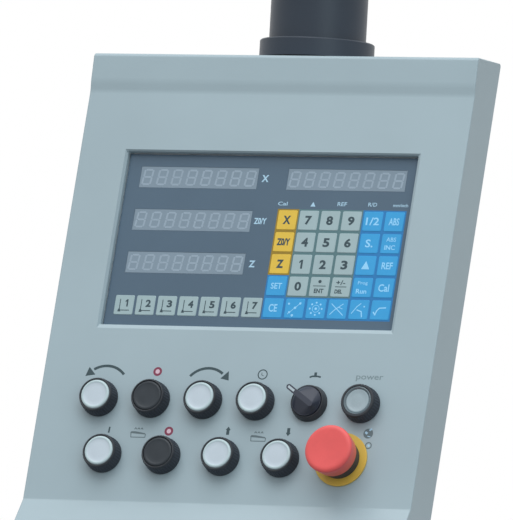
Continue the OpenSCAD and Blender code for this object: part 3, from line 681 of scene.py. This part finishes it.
def square_lip(bm):
    """Give the window's chamfer its width on each side, with nearly square outer corners."""
    half = [size / 2 for size in WINDOW_SIZE]
    for vert in bm.verts:
        p = on_face(vert.co)
        offset = [p[i] - WINDOW_CENTRE[i] for i in range(2)]
        on_left = offset[0] < 10 * NEAR - half[0]
        if on_left and abs(p.z + LIP) < NEAR and abs(beyond_window(p)) < NEAR:
            vert.co = off_face(p.x, p.y, -LIP_LEFT_DEPTH)
        if abs(p.z) > NEAR or not 2 * NEAR < beyond_window(p) < LIP + 2 * NEAR:
            continue
        sides = ("right" if offset[0] > 0 else "left", "top" if offset[1] > 0 else "bottom")
        margin = [LIP_SIDES[side] for side in sides]
        past = [abs(offset[i]) - half[i] + WINDOW_CORNER for i in range(2)]
        turn = math.hypot(*past)
        if min(past) > -NEAR:
            new = [half[i] + margin[i] - LIP_CORNER * (1 - past[i] / turn) for i in range(2)]
        else:
            new = [half[i] + margin[i] if past[i] > 0 else abs(offset[i]) for i in range(2)]
        place = [WINDOW_CENTRE[i] + math.copysign(new[i], offset[i]) for i in range(2)]
        vert.co = off_face(*place, p.z)


class PENDANT_OT_shell(Operator):
    """Make the console's folded shell, with rounded folds and a chamfered lip round the window"""

    bl_idname = "pendant.shell"
    bl_label = "Console shell"

    def execute(self, context):
        bm = merged_copy("front_shell")
        round_edges(bm, window_lip(bm), LIP, segments=1)
        square_lip(bm)
        widen_bends(bm)
        round_edges(bm, side_folds(bm), context.scene.pendant_sizes.fold / MM)
        shell = piece("console_shell", bm, "console", "console_paint", smooth=30, even=True)
        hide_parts("front_shell")
        return {"FINISHED"}


# ---- Softened copies of CAD parts ----

# Width of the rounding on each part's sharp edges, in millimetres
SOFT_EDGES = {
    "suspension_tube": 0.4,
    "swivel_flange": 0.2,
    "flange_gasket": 0.3,
    "swivel_liner": 0.15,
    "housing_screws": 0.5,
    "cover_screws": 0.5,
    "stop_disc": 0.5,
    "stop_collar": 0.3,
    "selector_bezel": 0.2,
    "lamp_bezel": 0.2,
}
BEZEL_EDGE = 0.2

# Width of the rounding on the long outer edges of the folded parts, and what counts as long
SOFT_FOLDS = {"rear_housing": 0.8, "rear_cover": 0.6}
LONG_EDGE = 15


class PENDANT_OT_soft_edges(Operator):
    """Give the turned and folded parts rounded edges and smooth round sides"""

    bl_idname = "pendant.soft_edges"
    bl_label = "Soft edges"

    def execute(self, context):
        widths = SOFT_EDGES | {"bezel_" + name: BEZEL_EDGE for name in BUTTONS}
        for body, nodes in BODIES.items():
            for node in nodes:
                if node in widths or node in SOFT_FOLDS:
                    self.soften(node, body, widths.get(node))
        return {"FINISHED"}

    def soften(self, node, body, width):
        bm = joined_copy(node)
        edges = [edge for edge in bm.edges if sharp(edge, 40)]
        if not width:
            edges = [e for e in edges if e.is_convex and e.calc_length() > LONG_EDGE * MM]
        round_edges(bm, edges, width or SOFT_FOLDS[node], segments=2, clamp=bool(width))
        copy = piece(node + "_soft", bm, body, SLOTS[node], smooth=35, even=True)
        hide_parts(node)


# ---- Digital readout, in millimetres ----

KEY_PITCH = 18.8
KEY_FIRST = (20.4, 244.2)
KEY_RISE = 0.4
KEY_TOP = face_box("readout_overlay")[1].z
FILM_TOP = KEY_TOP - KEY_RISE
# How far the printed grounds reach past the outer keys, and the film's gap round a display's cover
GROUND_EDGE = 1.1
DISPLAY_GAP = 0.2
DISPLAYS = ["display_x", "display_y", "display_z", "display_message"]
# Rows and columns of the keys, from the upper key at the left; the tool keys run on to the left
GREY_KEYS = [(r, c) for r in range(4) for c in (1, 2, 3)]
TOOL_KEYS = [(4, c) for c in range(-7, 0)]
YELLOW_KEYS = [(0, 0), (1, 0), (2, 0)]
BLUE_KEYS = [(r, c) for r in range(4) for c in (4, 5)] + [(3, 0)] + [(4, c) for c in range(6)]


def key_centre(row, column):
    return KEY_FIRST[0] + column * KEY_PITCH, KEY_FIRST[1] - row * KEY_PITCH


def rectangle(node, margin=0.0):
    """The outline of a CAD node on the face, with a margin round it."""
    low, high = face_box(node)
    (left, bottom), (right, top) = low.xy - Vector((margin, margin)), high.xy + Vector((margin, margin))
    return [(left, bottom), (right, bottom), (right, top), (left, top)]


def cut_sheet(loops, low, high):
    """A bmesh of a sheet bounded by the first loop and pierced by the others."""
    curve = bpy.data.curves.new("sheet", "CURVE")
    curve.dimensions = "2D"
    curve.fill_mode = "BOTH"
    curve.extrude = (high - low) / 2
    for loop in loops:
        spline = curve.splines.new("POLY")
        spline.points.add(len(loop) - 1)
        for point, (x, v) in zip(spline.points, loop):
            point.co = (x, v, 0, 1)
        spline.use_cyclic_u = True
    mesh = settled(linked("sheet", curve))
    mesh.transform(Matrix.Translation((0, 0, (low + high) / 2)))
    bm = bmesh.new()
    bm.from_mesh(mesh)
    close_up(bm)
    return bm


class PENDANT_OT_film(Operator):
    """Make the readout's printed film, its coloured grounds and its embossed keys"""

    bl_idname = "pendant.film"
    bl_label = "Readout film"

    def execute(self, context):
        sizes = context.scene.pendant_sizes
        loops = [rectangle("readout_overlay")] + [rectangle(name, DISPLAY_GAP) for name in DISPLAYS]
        sheet = cut_sheet(loops, face_box("readout_overlay")[0].z, FILM_TOP)
        film = face_piece("readout_film", sheet, "console", "overlay_film")
        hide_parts("readout_overlay")
        self.grounds(sizes.key_side / MM / 2 + GROUND_EDGE)
        self.keys(sizes.key_side / MM, sizes.key_corner / MM)
        return {"FINISHED"}

    def grounds(self, edge):
        """Flat printed patches that show as lines between the keys."""
        left, top = KEY_FIRST[0] - edge, KEY_FIRST[1] + edge
        step = [KEY_FIRST[0] + (c + 0.5) * KEY_PITCH for c in range(6)]
        level = [KEY_FIRST[1] - (r + 0.5) * KEY_PITCH for r in range(5)]
        right, bottom = step[4] + KEY_PITCH / 2 + edge, level[3] - KEY_PITCH / 2 - edge
        patches = {
            "ground_olive": [(left, level[2]), (step[0], level[2]), (step[0], top), (left, top)],
            "ground_green": [(step[0], level[3]), (step[3], level[3]), (step[3], top), (step[0], top)],
            "ground_blue": [
                (left, bottom), (right, bottom), (right, top), (step[3], top),
                (step[3], level[3]), (step[0], level[3]), (step[0], level[2]), (left, level[2]),
            ],
        }
        for name, outline in patches.items():
            ink = Ink(FILM_TOP)
            ink.area(outline)
            ink.done(name, name, "overlay_film")

    def keys(self, side, corner):
        groups = {"key_yellow": YELLOW_KEYS, "key_grey": GREY_KEYS + TOOL_KEYS, "key_blue": BLUE_KEYS}
        sizes = {"Width": side, "Height": side, "Corner": corner, "Rise": KEY_RISE, "Shoulder": 0.955}
        for name, keys in groups.items():
            bm = grown(plates_tree(name), [(*key_centre(*key), FILM_TOP) for key in keys], sizes)
            face_piece(name + "s", bm, "console", "overlay_film", name, smooth=25)


class PENDANT_OT_digits(Operator):
    """Make the leaning seven-bar figures of the four displays"""

    bl_idname = "pendant.digits"
    bl_label = "Display figures"

    def execute(self, context):
        digits, slant = 8, 0.12
        half_w, half_h = 3.6, 6.2
        lean = math.degrees(math.atan(slant))
        bars = [(0, y, 0) for y in (-half_h, 0, half_h)]
        bars += [(x, y, 90 - lean) for x in (-half_w, half_w) for y in (-half_h / 2, half_h / 2)]
        places, turns = [], []
        level = face_box("display_panes")[1].z
        for node in DISPLAYS:
            low, high = face_box(node)
            centre, pitch = (low + high) / 2, (high.x - low.x) / digits
            for k in range(digits):
                middle = centre.x + (k - (digits - 1) / 2) * pitch
                places += [(middle + x + slant * y, centre.y + y, level) for x, y, turn in bars]
                turns += [turn for x, y, turn in bars]
        width = context.scene.pendant_sizes.figure_bar / MM
        sizes = {"Width": 5.9, "Height": width, "Corner": 0.6, "Rise": INK, "Shoulder": 0.98}
        bm = grown(plates_tree("segment"), places, sizes, turns)
        face_piece("display_figures", bm, "console", "pane_smoke", "segment")
        return {"FINISHED"}


class PENDANT_OT_readout_print(Operator):
    """Print the readout's letters, figures and symbols"""

    bl_idname = "pendant.readout_print"
    bl_label = "Readout lettering"

    def execute(self, context):
        self.dark_legends()
        self.light_legends()
        self.white_legends()
        return {"FINISHED"}

    def dark_legends(self):
        ink = Ink(KEY_TOP)
        rows = ((0, 1, "789"), (1, 1, "456"), (2, 1, "123"), (3, 1, "0"))
        for row, first, figures in rows:
            for column, text in enumerate(figures, first):
                ink.figure(text, key_centre(row, column), 7.6, 4.4 if text == "1" else 5.8)
        for row, text, height, width in ((0, "X", 7.2, 6.6), (1, "Z0/Y", 6.2, 11.5), (2, "Z", 7.2, 6.2)):
            ink.words(text, key_centre(row, 0), height, width, 0.045)
        ink.place = key_centre(3, 2)
        ink.disc((0, 4.4), 1.4)
        ink.bar((-5.5, 0.6), (5.5, 0.6), 0.6)
        ink.words("ENT", (0, -3.6), 3.8, 8.2, 0.03)
        ink.place = key_centre(3, 3)
        ink.words("+/-", (-0.5, 3.8), 4.0, 8.0, 0.02)
        ink.bar((-5, 0.2), (5, 0.2), 0.6)
        ink.words("DEL", (-1.5, -3.8), 3.4, 6.6, 0.04)
        for number, key in enumerate(TOOL_KEYS, 1):
            ink.place = key_centre(*key)
            ink.figure(str(number), (2.6, 1.6), 6.2, 3.4 if number == 1 else 4.6)
            ink.stroke([(-3.6, 5), (-3.6, -4.6), (5.2, -4.6)], 0.7)
            ink.area([(-5, -5.8), (-2.4, -5.8), (-3.0, -3.4), (-4.4, -3.4)], ink.high + STEP)
        ink.done("dark_key_print", "ink_dark", "overlay_film")

    def light_legends(self):
        ink = Ink(KEY_TOP)
        raised = 3 * STEP
        for key, text, height, width in (
            ((0, 4), "1/2", 6.6, 11.5), ((0, 5), "ABS", 6.2, 9.0), ((1, 4), "S.", 6.8, 6.6),
            ((2, 5), "REF", 5.8, 9.6), ((3, 0), "SET", 5.2, 9.6), ((3, 5), "Cal", 6.4, 9.4),
            ((4, 0), "CE", 6.6, 7.4),
        ):
            ink.words(text, key_centre(*key), height, width, 0.02)
        for key, top, bottom in (((1, 5), "ABS", "INC"), ((3, 4), "Prog", "Run")):
            ink.place = key_centre(*key)
            ink.words(top, (0, 3.6), 3.6, 8.6, 0.01)
            ink.words(bottom, (-0.4, -3.2), 4.0, 9.2, 0.02)
        ink.place = key_centre(2, 4)
        ink.area([(-3.6, -3.2), (3.6, -3.2), (0, 3.8)])
        ink.place = key_centre(4, 1)
        ink.bar((-5.5, -5), (5.5, 5), 0.5)
        for x, v, radius in (
            (-5.2, 3.8, 0.9), (-4.0, -3.4, 0.9), (0.6, 0.4, 1.1), (4.6, 4.2, 1.0), (-1.2, -6.0, 1.1),
        ):
            ink.disc((x, v), radius, 12, ink.high + raised)
        ink.place = key_centre(4, 2)
        for point in circle_points((0, 0), 5.2, steps=8)[:-1]:
            ink.disc(point, 0.85, 12)
        ink.disc((0, 0), 1.1, 12)
        ink.arc((0, 0), 3.0, 0.4)
        ink.place = key_centre(4, 3)
        ink.stroke([(-5.6, 4.6), (0.6, -0.8), (5.6, -5.2)], 0.7)
        ink.stroke([(-6, -4.6), (-2.2, -0.6), (4.8, 4.6)], 0.7, raised)
        ink.bar((1.2, 1.6), (4.6, 0.2), 0.6)
        ink.place = key_centre(4, 4)
        ink.stroke([(-6, -3.4), (-2, 2.4), (1.4, 5.4)], 0.7)
        ink.stroke([(-1.8, -0.2), (2.4, -1.6), (3.4, -6.4)], 1.0)
        ink.disc((4.4, 2.6), 0.7, 12)
        ink.place = key_centre(4, 5)
        ink.stroke([(-6, -1.6), (-4.2, -4.2), (-3, -0.6), (-1, 1.6), (4.8, 2)], 1.0)
        ink.done("light_key_print", "ink_light", "overlay_film")

    def white_legends(self):
        ink = Ink(FILM_TOP)
        for text, centre, height, width, bold in (
            ("X", (-4.5, 279.4), 6.0, 6.2, 0.03), ("Z0/Y", (-3.0, 242.9), 5.4, 11.0, 0.03),
            ("Z", (-4.3, 206.2), 5.8, 5.4, 0.03), ("Cal", (14.4, 258.2), 3.2, 8.4, 0.01),
            ("REF", (66.6, 258.6), 3.3, 8.2, 0.01), ("R/D", (93.3, 258.6), 3.3, 7.6, 0.01),
            ("mm/inch", (117.8, 258.3), 2.8, 13.0, 0.01),
        ):
            ink.words(text, centre, height, width, bold)
        ink.area([(38.9, 256.1), (43.3, 256.1), (41.1, 260.1)])
        ink.done("white_film_print", "ink_white", "overlay_film")


# ---- Controls on the face, in millimetres ----

STEM_RADIUS = 4.0
CAP_UNDERSIDE = 7.2
# How far inwards from a cap's or lens's edge its rim runs
RIM = 2.3
BEZELS = ["bezel_" + name for name in BUTTONS] + ["lamp_bezel"]


def shoulder(radius, top, steps):
    """Points of a profile from how far each lies inside the radius and below the top."""
    return [(radius - inset, top - drop) for inset, drop in steps]


def revolve(name, profile, centre, body, slot_name, steps=96):
    bm = bmesh.new()
    lathe(bm, profile, steps, centre)
    return face_piece(name, bm, body, slot_name, smooth=35)


def paint_rim(thing, finish_name, centre, radius, level):
    """Gives a second finish to the faces above a level and farther out than a radius."""
    thing.data.materials.append(MATERIALS[finish_name])
    for face in thing.data.polygons:
        middle = on_face(face.center)
        if middle.z > level and math.dist(middle.xy, centre) > radius:
            face.material_index = 1


class PENDANT_OT_buttons(Operator):
    """Make the push-buttons' caps, slightly dished, the white ones with a painted highlight on their paler
    rim
    """

    bl_idname = "pendant.buttons"
    bl_label = "Push-button caps"

    def execute(self, context):
        for name in BUTTONS:
            self.cap("button_" + name)
        return {"FINISHED"}

    def cap(self, node):
        centre, radius, bottom, top = round_part(node)
        white = SLOTS[node] == "white_cap"
        sink = 0.5 if white else 0.35
        stem = [(0, bottom), (STEM_RADIUS - 0.4, bottom), (STEM_RADIUS, bottom + 0.4)]
        edge = shoulder(radius, top, [
            (0, top - CAP_UNDERSIDE), (0, 1.3), (0.15, 0.8), (0.5, 0.4), (1.0, 0.12), (1.5, 0),
            (2.0, 0.1 * sink), (2.5, 0.6 * sink), (3.2, sink),
        ])
        middle = [(radius * 0.5, top - 0.9 * sink), (0, top - 0.8 * sink)]
        profile = stem + [(STEM_RADIUS, CAP_UNDERSIDE)] + edge + middle
        cap = revolve(node.replace("button", "cap"), profile, centre, node, SLOTS[node])
        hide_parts(node)
        # The white cap's rim gets a paler finish: a painted highlight of its lit shoulder
        if white:
            paint_rim(cap, "cap_rim_painted_highlight", centre, radius - RIM, top - 1.2)


# Farther from its control's axis than a spring reaches
SPRING_REACH = 15


class PENDANT_OT_springs(Operator):
    """Copy the return springs one by one, each as a piece of its own on the console"""

    bl_idname = "pendant.springs"
    bl_label = "Return springs"

    def execute(self, context):
        for name in BUTTONS:
            self.coil(name, "button_springs", "button_" + name)
        self.coil("stop", "stop_spring", "stop_stem")
        return {"FINISHED"}

    def coil(self, name, node, pushed_by):
        centre = face_centre(pushed_by).xy
        bm = joined_copy(node)
        others = [v for v in bm.verts if (on_face(v.co).xy - centre).length > SPRING_REACH]
        bmesh.ops.delete(bm, geom=others, context="VERTS")
        coil = piece("spring_" + name, bm, "console", "spring_steel", smooth=40)
        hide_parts(node)
        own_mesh(coil)


class PENDANT_OT_bezel_ribs(Operator):
    """Make the fine ribs round the bezels"""

    bl_idname = "pendant.bezel_ribs"
    bl_label = "Bezel ribs"

    def execute(self, context):
        radius, _, top = round_part(BEZELS[0])[1:]
        taper, height, start, end = 1.25, top - 1.7, 1.6, top - 1.8
        level = (start + end) / 2
        across = radius - taper * (level - 1) / height
        own = context.scene.pendant_sizes
        sizes = {
            "Count": 40, "Radius": across - 0.05, "Lean": -math.atan(taper / height),
            "Rib Width": own.rib_width / MM, "Rib Depth": own.rib_depth / MM, "Rib Length": end - start,
        }
        bm = grown(ribs_tree("knob"), [(*face_centre(node).xy, level) for node in BEZELS], sizes)
        face_piece("bezel_ribs", bm, "console", "black_plastic", "knob")
        return {"FINISHED"}


# The knob's edges are rounded above its foot. Its index line starts and ends at these radii
KNOB_FOOT = 6
INDEX_START, INDEX_END, INDEX_WIDTH, INDEX_SINK = 10.2, 17.2, 2.0, 0.02


class PENDANT_OT_selector(Operator):
    """Make the selector's ridged knob with soft edges, and its index line"""

    bl_idname = "pendant.selector"
    bl_label = "Selector knob"

    def execute(self, context):
        bm = merged_copy("selector_knob")
        edges = [e for e in bm.edges if sharp(e, 25) and min(on_face(v.co).z for v in e.verts) > KNOB_FOOT]
        round_edges(bm, edges, context.scene.pendant_sizes.knob_edge / MM, clamp=True)
        knob = piece("selector_handle", bm, "selector", "black_plastic", "knob", smooth=40, even=True)
        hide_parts("selector_knob")
        self.index_line()
        return {"FINISHED"}

    def index_line(self):
        joint = JOINTS["selector_turn"]
        centre = on_face(Vector(joint["pos_m"])).xy
        half_turn = math.radians(joint["range_deg"][1] / 2)
        along = Vector((-math.sin(half_turn), math.cos(half_turn)))
        ink = Ink(face_box("selector_knob")[1].z - INDEX_SINK, INDEX_SINK + INK)
        ink.bar(centre + along * INDEX_START, centre + along * INDEX_END, INDEX_WIDTH)
        ink.done("selector_index", "index_pale", "black_plastic", "selector")


class PENDANT_OT_lamp(Operator):
    """Make the pilot lamp's lens in its dark rim"""

    bl_idname = "pendant.lamp"
    bl_label = "Pilot lamp"

    def execute(self, context):
        centre, radius, bottom, top = round_part("lamp_lens")
        foot = [(0, bottom), (radius, bottom)]
        rim = shoulder(radius, top, [(0, 0.9), (0.25, 0.35), (0.7, 0.05), (1.0, 0), (2.3, 1.3), (2.6, 0.9)])
        middle = [(radius * 0.72, top - 0.75), (radius * 0.70, top - 0.85), (radius * 0.4, top - 0.75)]
        profile = foot + rim + middle + [(0, top - 0.7)]
        lens = revolve("lamp_glass", profile, centre, "console", "lamp_grey")
        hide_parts("lamp_lens")
        paint_rim(lens, "lamp_rim", centre, radius - RIM, top - 1.35)
        return {"FINISHED"}


class PENDANT_OT_stop(Operator):
    """Make the emergency stop's mushroom"""

    bl_idname = "pendant.stop"
    bl_label = "Emergency stop"

    def execute(self, context):
        centre, rim, bottom, top = round_part("stop_mushroom")
        foot, wall, hub, bore = rim - 1.7, 1.1, top - 9.96, 5.05
        skirt = [
            (bore, hub), (8.8, hub), (8.8, hub + 1.5), (foot - wall, hub + 1.5), (foot - wall, bottom),
            (foot - 0.2, bottom), (foot, bottom + 0.2), (foot + 0.2, bottom + 0.9),
        ]
        edge = shoulder(rim, top, [
            (0.25, 4.4), (0.05, 3.2), (0, 2.5), (0.15, 1.8), (0.5, 1.2), (1.1, 0.65), (1.9, 0.25),
            (2.9, 0.04), (4, 0), (5, 0.05),
        ])
        inside = [(rim * 0.4, top - 0.25), (0, top - 0.3), (0, hub + 6.3), (bore, hub + 6.3)]
        profile = skirt + edge + inside
        mushroom = revolve("stop_head_cap", profile, centre, "stop_head", "mushroom_red", steps=128)
        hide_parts("stop_mushroom")
        return {"FINISHED"}


class PENDANT_OT_face_print(Operator):
    """Print the symbols beside the controls"""

    bl_idname = "pendant.face_print"
    bl_label = "Face symbols"

    def execute(self, context):
        self.dark_symbols()
        self.faint_symbols()
        self.small_symbols()
        self.red_rings()
        return {"FINISHED"}

    def dark_symbols(self):
        ink = Ink(0)
        ink.arc((-114.2, 93.4), 21.2, 2.2, 42, 122)
        ink.area([(-132.3, 105.6), (-123.7, 107.0), (-129.8, 113.4)])
        ink.arc((-24.4, 94.0), 20.6, 2.2, 52, 139)
        ink.area([(-5.6, 104.6), (-6.6, 112.6), (-13.0, 106.2)])
        ink.arc((23.4, 110.4), 3.9, 0.9, steps=28)
        ink.stroke([(22.6, 112.0), (22.6, 110.0), (24.4, 109.2)], 0.5)
        ink.stroke([(64.7, 109.0), (67.2, 109.9), (71.9, 109.9), (74.4, 109.3)], 1.4)
        ink.bar((69.6, 109.6), (69.5, 113.2), 2.3)
        ink.bar((-103.3, 62.9), (-103.6, 57.9), 1.4)
        half = [(0, 3.5), (2.2, 0.6), (1.3, 0.6), (1.3, -3.4)]
        arrow = half + [(-x, v) for x, v in reversed(half[1:])]
        for place, way in (((1.0, 62.1), 1), ((53.8, 62.3), -1)):
            ink.place = place
            ink.area([(way * x, way * v) for x, v in arrow])
        ink.done("dark_face_print", "ink_slate", "console_paint")

    def faint_symbols(self):
        ink = Ink(0)
        ink.words("power", (117.0, 109.1), 4.9, 23.6, 0.012)
        ink.done("faint_face_print", "ink_faint", "console_paint")

    def small_symbols(self):
        """The two coolant trays with their drops, and the stop's signs."""
        ink = Ink(0)
        for place in ((-77.5, 56.7), (28.2, 56.0)):
            ink.place = place
            ink.stroke([(-6.4, 2), (-6.0, -2), (6.4, -2), (6.6, 0.8)], 0.7)
            ink.area([(-7, 1.4), (7, 0.4), (6, 1.6), (-2.4, 3), (-6.2, 3)])
            for x in (-2.8, 0, 2.8):
                ink.stroke([(x - 1, 4.7), (x, 6), (x + 1, 4.7)], 0.7)
        ink.place = (0, 0)
        ink.disc((123.3, 62.8), 4.2)
        ink.arc((125.0, 52.7), 2.5, 0.9, steps=20)
        ink.done("small_face_print", "ink_mid", "console_paint")
        ink = Ink(INK)
        ink.bar((120.6, 64.0), (122.6, 62.6), 1.9)
        ink.bar((124.0, 65.3), (126.0, 66.9), 1.5)
        ink.bar((123.0, 60.6), (125.6, 60.0), 0.8)
        ink.disc((125.2, 52.6), 1.1, 12)
        ink.done("stop_sign_light", "ink_white", "console_paint")

    def red_rings(self):
        rings, centres = Ink(0), Ink(0)
        for place in ((-69.1, 110.8), (-50.8, 60.5)):
            rings.arc(place, 2.85, 1.9, steps=32)
            centres.disc(place, 1.95, 32)
        rings.done("red_face_print", "ink_red", "console_paint")
        centres.done("pale_face_print", "ink_pink", "console_paint")


# ---- Stage ----

# Strength of the surround as a light
SKY = 0.58
FLOOR_HEIGHT = -1.6
FLOOR_HALF = 14
LAMP_AIM = (0, -0.1, -0.35)
CAMERA_AIM = (0, -107.07, -303.38)
# How far the aim moves to the right and down in the view, in millimetres
VIEW_SHIFT = (3.4, 5.15)


def add_lamp(name, place, size, power, tint):
    data = bpy.data.lights.new(name, "AREA")
    data.shape = "RECTANGLE"
    data.size, data.size_y = size
    data.energy = power
    data.color = tint
    lamp = linked(name, data)
    lamp.location = place
    lamp.rotation_euler = (Vector(LAMP_AIM) - Vector(place)).to_track_quat("-Z", "Y").to_euler()


def seen_rays(tree):
    """1 for rays from the camera and through gloss and glass, 0 for the rays that only light things."""
    rays = add_node(tree, "ShaderNodeLightPath").outputs
    total = rays["Is Camera Ray"]
    for name in ("Is Glossy Ray", "Is Transmission Ray"):
        total = add_node(tree, "ShaderNodeMath", {0: total, 1: rays[name]}, operation="MAXIMUM").outputs[0]
    return total


def add_world():
    """A white surround for the eye and for gloss, and a plainer light on everything else."""
    world = bpy.data.worlds.new("surround")
    bpy.context.scene.world = world
    world.use_nodes = True
    tree = world.node_tree
    background = tree.nodes["Background"]
    levels = {"Value": seen_rays(tree), "To Min": SKY, "To Max": 1.0}
    strength = add_node(tree, "ShaderNodeMapRange", levels)
    tree.links.new(strength.outputs["Result"], background.inputs["Strength"])
    background.inputs["Color"].default_value = (1, 1, 1, 1)


def add_floor():
    """A pale floor that throws little of its light back up."""
    mesh = bpy.data.meshes.new("floor")
    ends = (-FLOOR_HALF, FLOOR_HALF)
    mesh.from_pydata([(x, y, FLOOR_HEIGHT) for y in ends for x in ends], [], [(0, 1, 3, 2)])
    floor = linked("floor", mesh)
    surface, tree, shader = new_material("floor_surface")
    pale = ramp(tree, object_noise(tree, 3), (0.80, 0.80, 0.80), (0.86, 0.86, 0.86))
    colours = {"A": (0.2, 0.2, 0.2, 1), "B": pale, "Factor": seen_rays(tree)}
    mix = add_node(tree, "ShaderNodeMix", colours, data_type="RGBA")
    tree.links.new(mix.outputs["Result"], shader.inputs["Base Color"])
    shader.inputs["Roughness"].default_value = 0.8
    mesh.materials.append(surface)


def add_camera(settings):
    turn, rise = settings.azimuth, settings.elevation
    back = Vector((math.sin(turn) * math.cos(rise), -math.cos(turn) * math.cos(rise), math.sin(rise)))
    right = Vector((math.cos(turn), math.sin(turn), 0))
    up = back.cross(right)
    lean = Matrix.Rotation(settings.roll, 3, back)
    right, up = lean @ right, lean @ up
    aim = Vector(CAMERA_AIM) * MM + right * VIEW_SHIFT[0] * MM - up * VIEW_SHIFT[1] * MM
    data = bpy.data.cameras.new("camera")
    data.sensor_fit = "HORIZONTAL"
    data.sensor_width = 36
    data.lens = settings.lens
    camera = linked("camera", data)
    camera.matrix_world = axes_matrix(right, up, back, aim + back * settings.distance)
    bpy.context.scene.camera = camera


class PENDANT_OT_stage(Operator):
    """Make the floor, the surround, the lamps and the camera"""

    bl_idname = "pendant.stage"
    bl_label = "Stage"

    def execute(self, context):
        add_world()
        add_floor()
        add_lamp("key_lamp", place=(0.2, -2.3, 4.5), size=(6.0, 5.0), power=226, tint=(1, 1, 1))
        add_lamp("side_lamp", place=(2.4, -2.4, 0.8), size=(2.0, 2.2), power=20, tint=(0.76, 0.95, 1))
        add_camera(context.scene.pendant_camera)
        context.scene.view_settings.view_transform = "Standard"
        return {"FINISHED"}


class PENDANT_PT_panel(bpy.types.Panel):
    """Lists the steps that build the pendant, and its colours and sizes"""

    bl_idname = "PENDANT_PT_panel"
    bl_label = "Control pendant"
    bl_space_type = "VIEW_3D"
    bl_region_type = "UI"
    bl_category = "Pendant"

    def draw(self, context):
        for step in STEPS:
            self.layout.operator(step.bl_idname)
        for group, kind in GROUPS.items():
            for name in kind.__annotations__:
                self.layout.prop(getattr(context.scene, group), name)


STEPS = [
    PENDANT_OT_finishes,
    PENDANT_OT_shell,
    PENDANT_OT_soft_edges,
    PENDANT_OT_film,
    PENDANT_OT_digits,
    PENDANT_OT_readout_print,
    PENDANT_OT_buttons,
    PENDANT_OT_springs,
    PENDANT_OT_bezel_ribs,
    PENDANT_OT_selector,
    PENDANT_OT_lamp,
    PENDANT_OT_stop,
    PENDANT_OT_face_print,
    PENDANT_OT_stage,
]
GROUPS = {
    "pendant_colours": PendantColours,
    "pendant_sizes": PendantSizes,
    "pendant_camera": PendantCamera,
}
CLASSES = [*GROUPS.values(), *STEPS, PENDANT_PT_panel]


def register():
    for item in CLASSES:
        bpy.utils.register_class(item)
    for group, kind in GROUPS.items():
        setattr(bpy.types.Scene, group, bpy.props.PointerProperty(type=kind))


def unregister():
    for group in GROUPS:
        delattr(bpy.types.Scene, group)
    for item in reversed(CLASSES):
        bpy.utils.unregister_class(item)


def main():
    register()
    for step in STEPS:
        group, name = step.bl_idname.split(".")
        getattr(getattr(bpy.ops, group), name)()


if __name__ == "__main__":
    main()
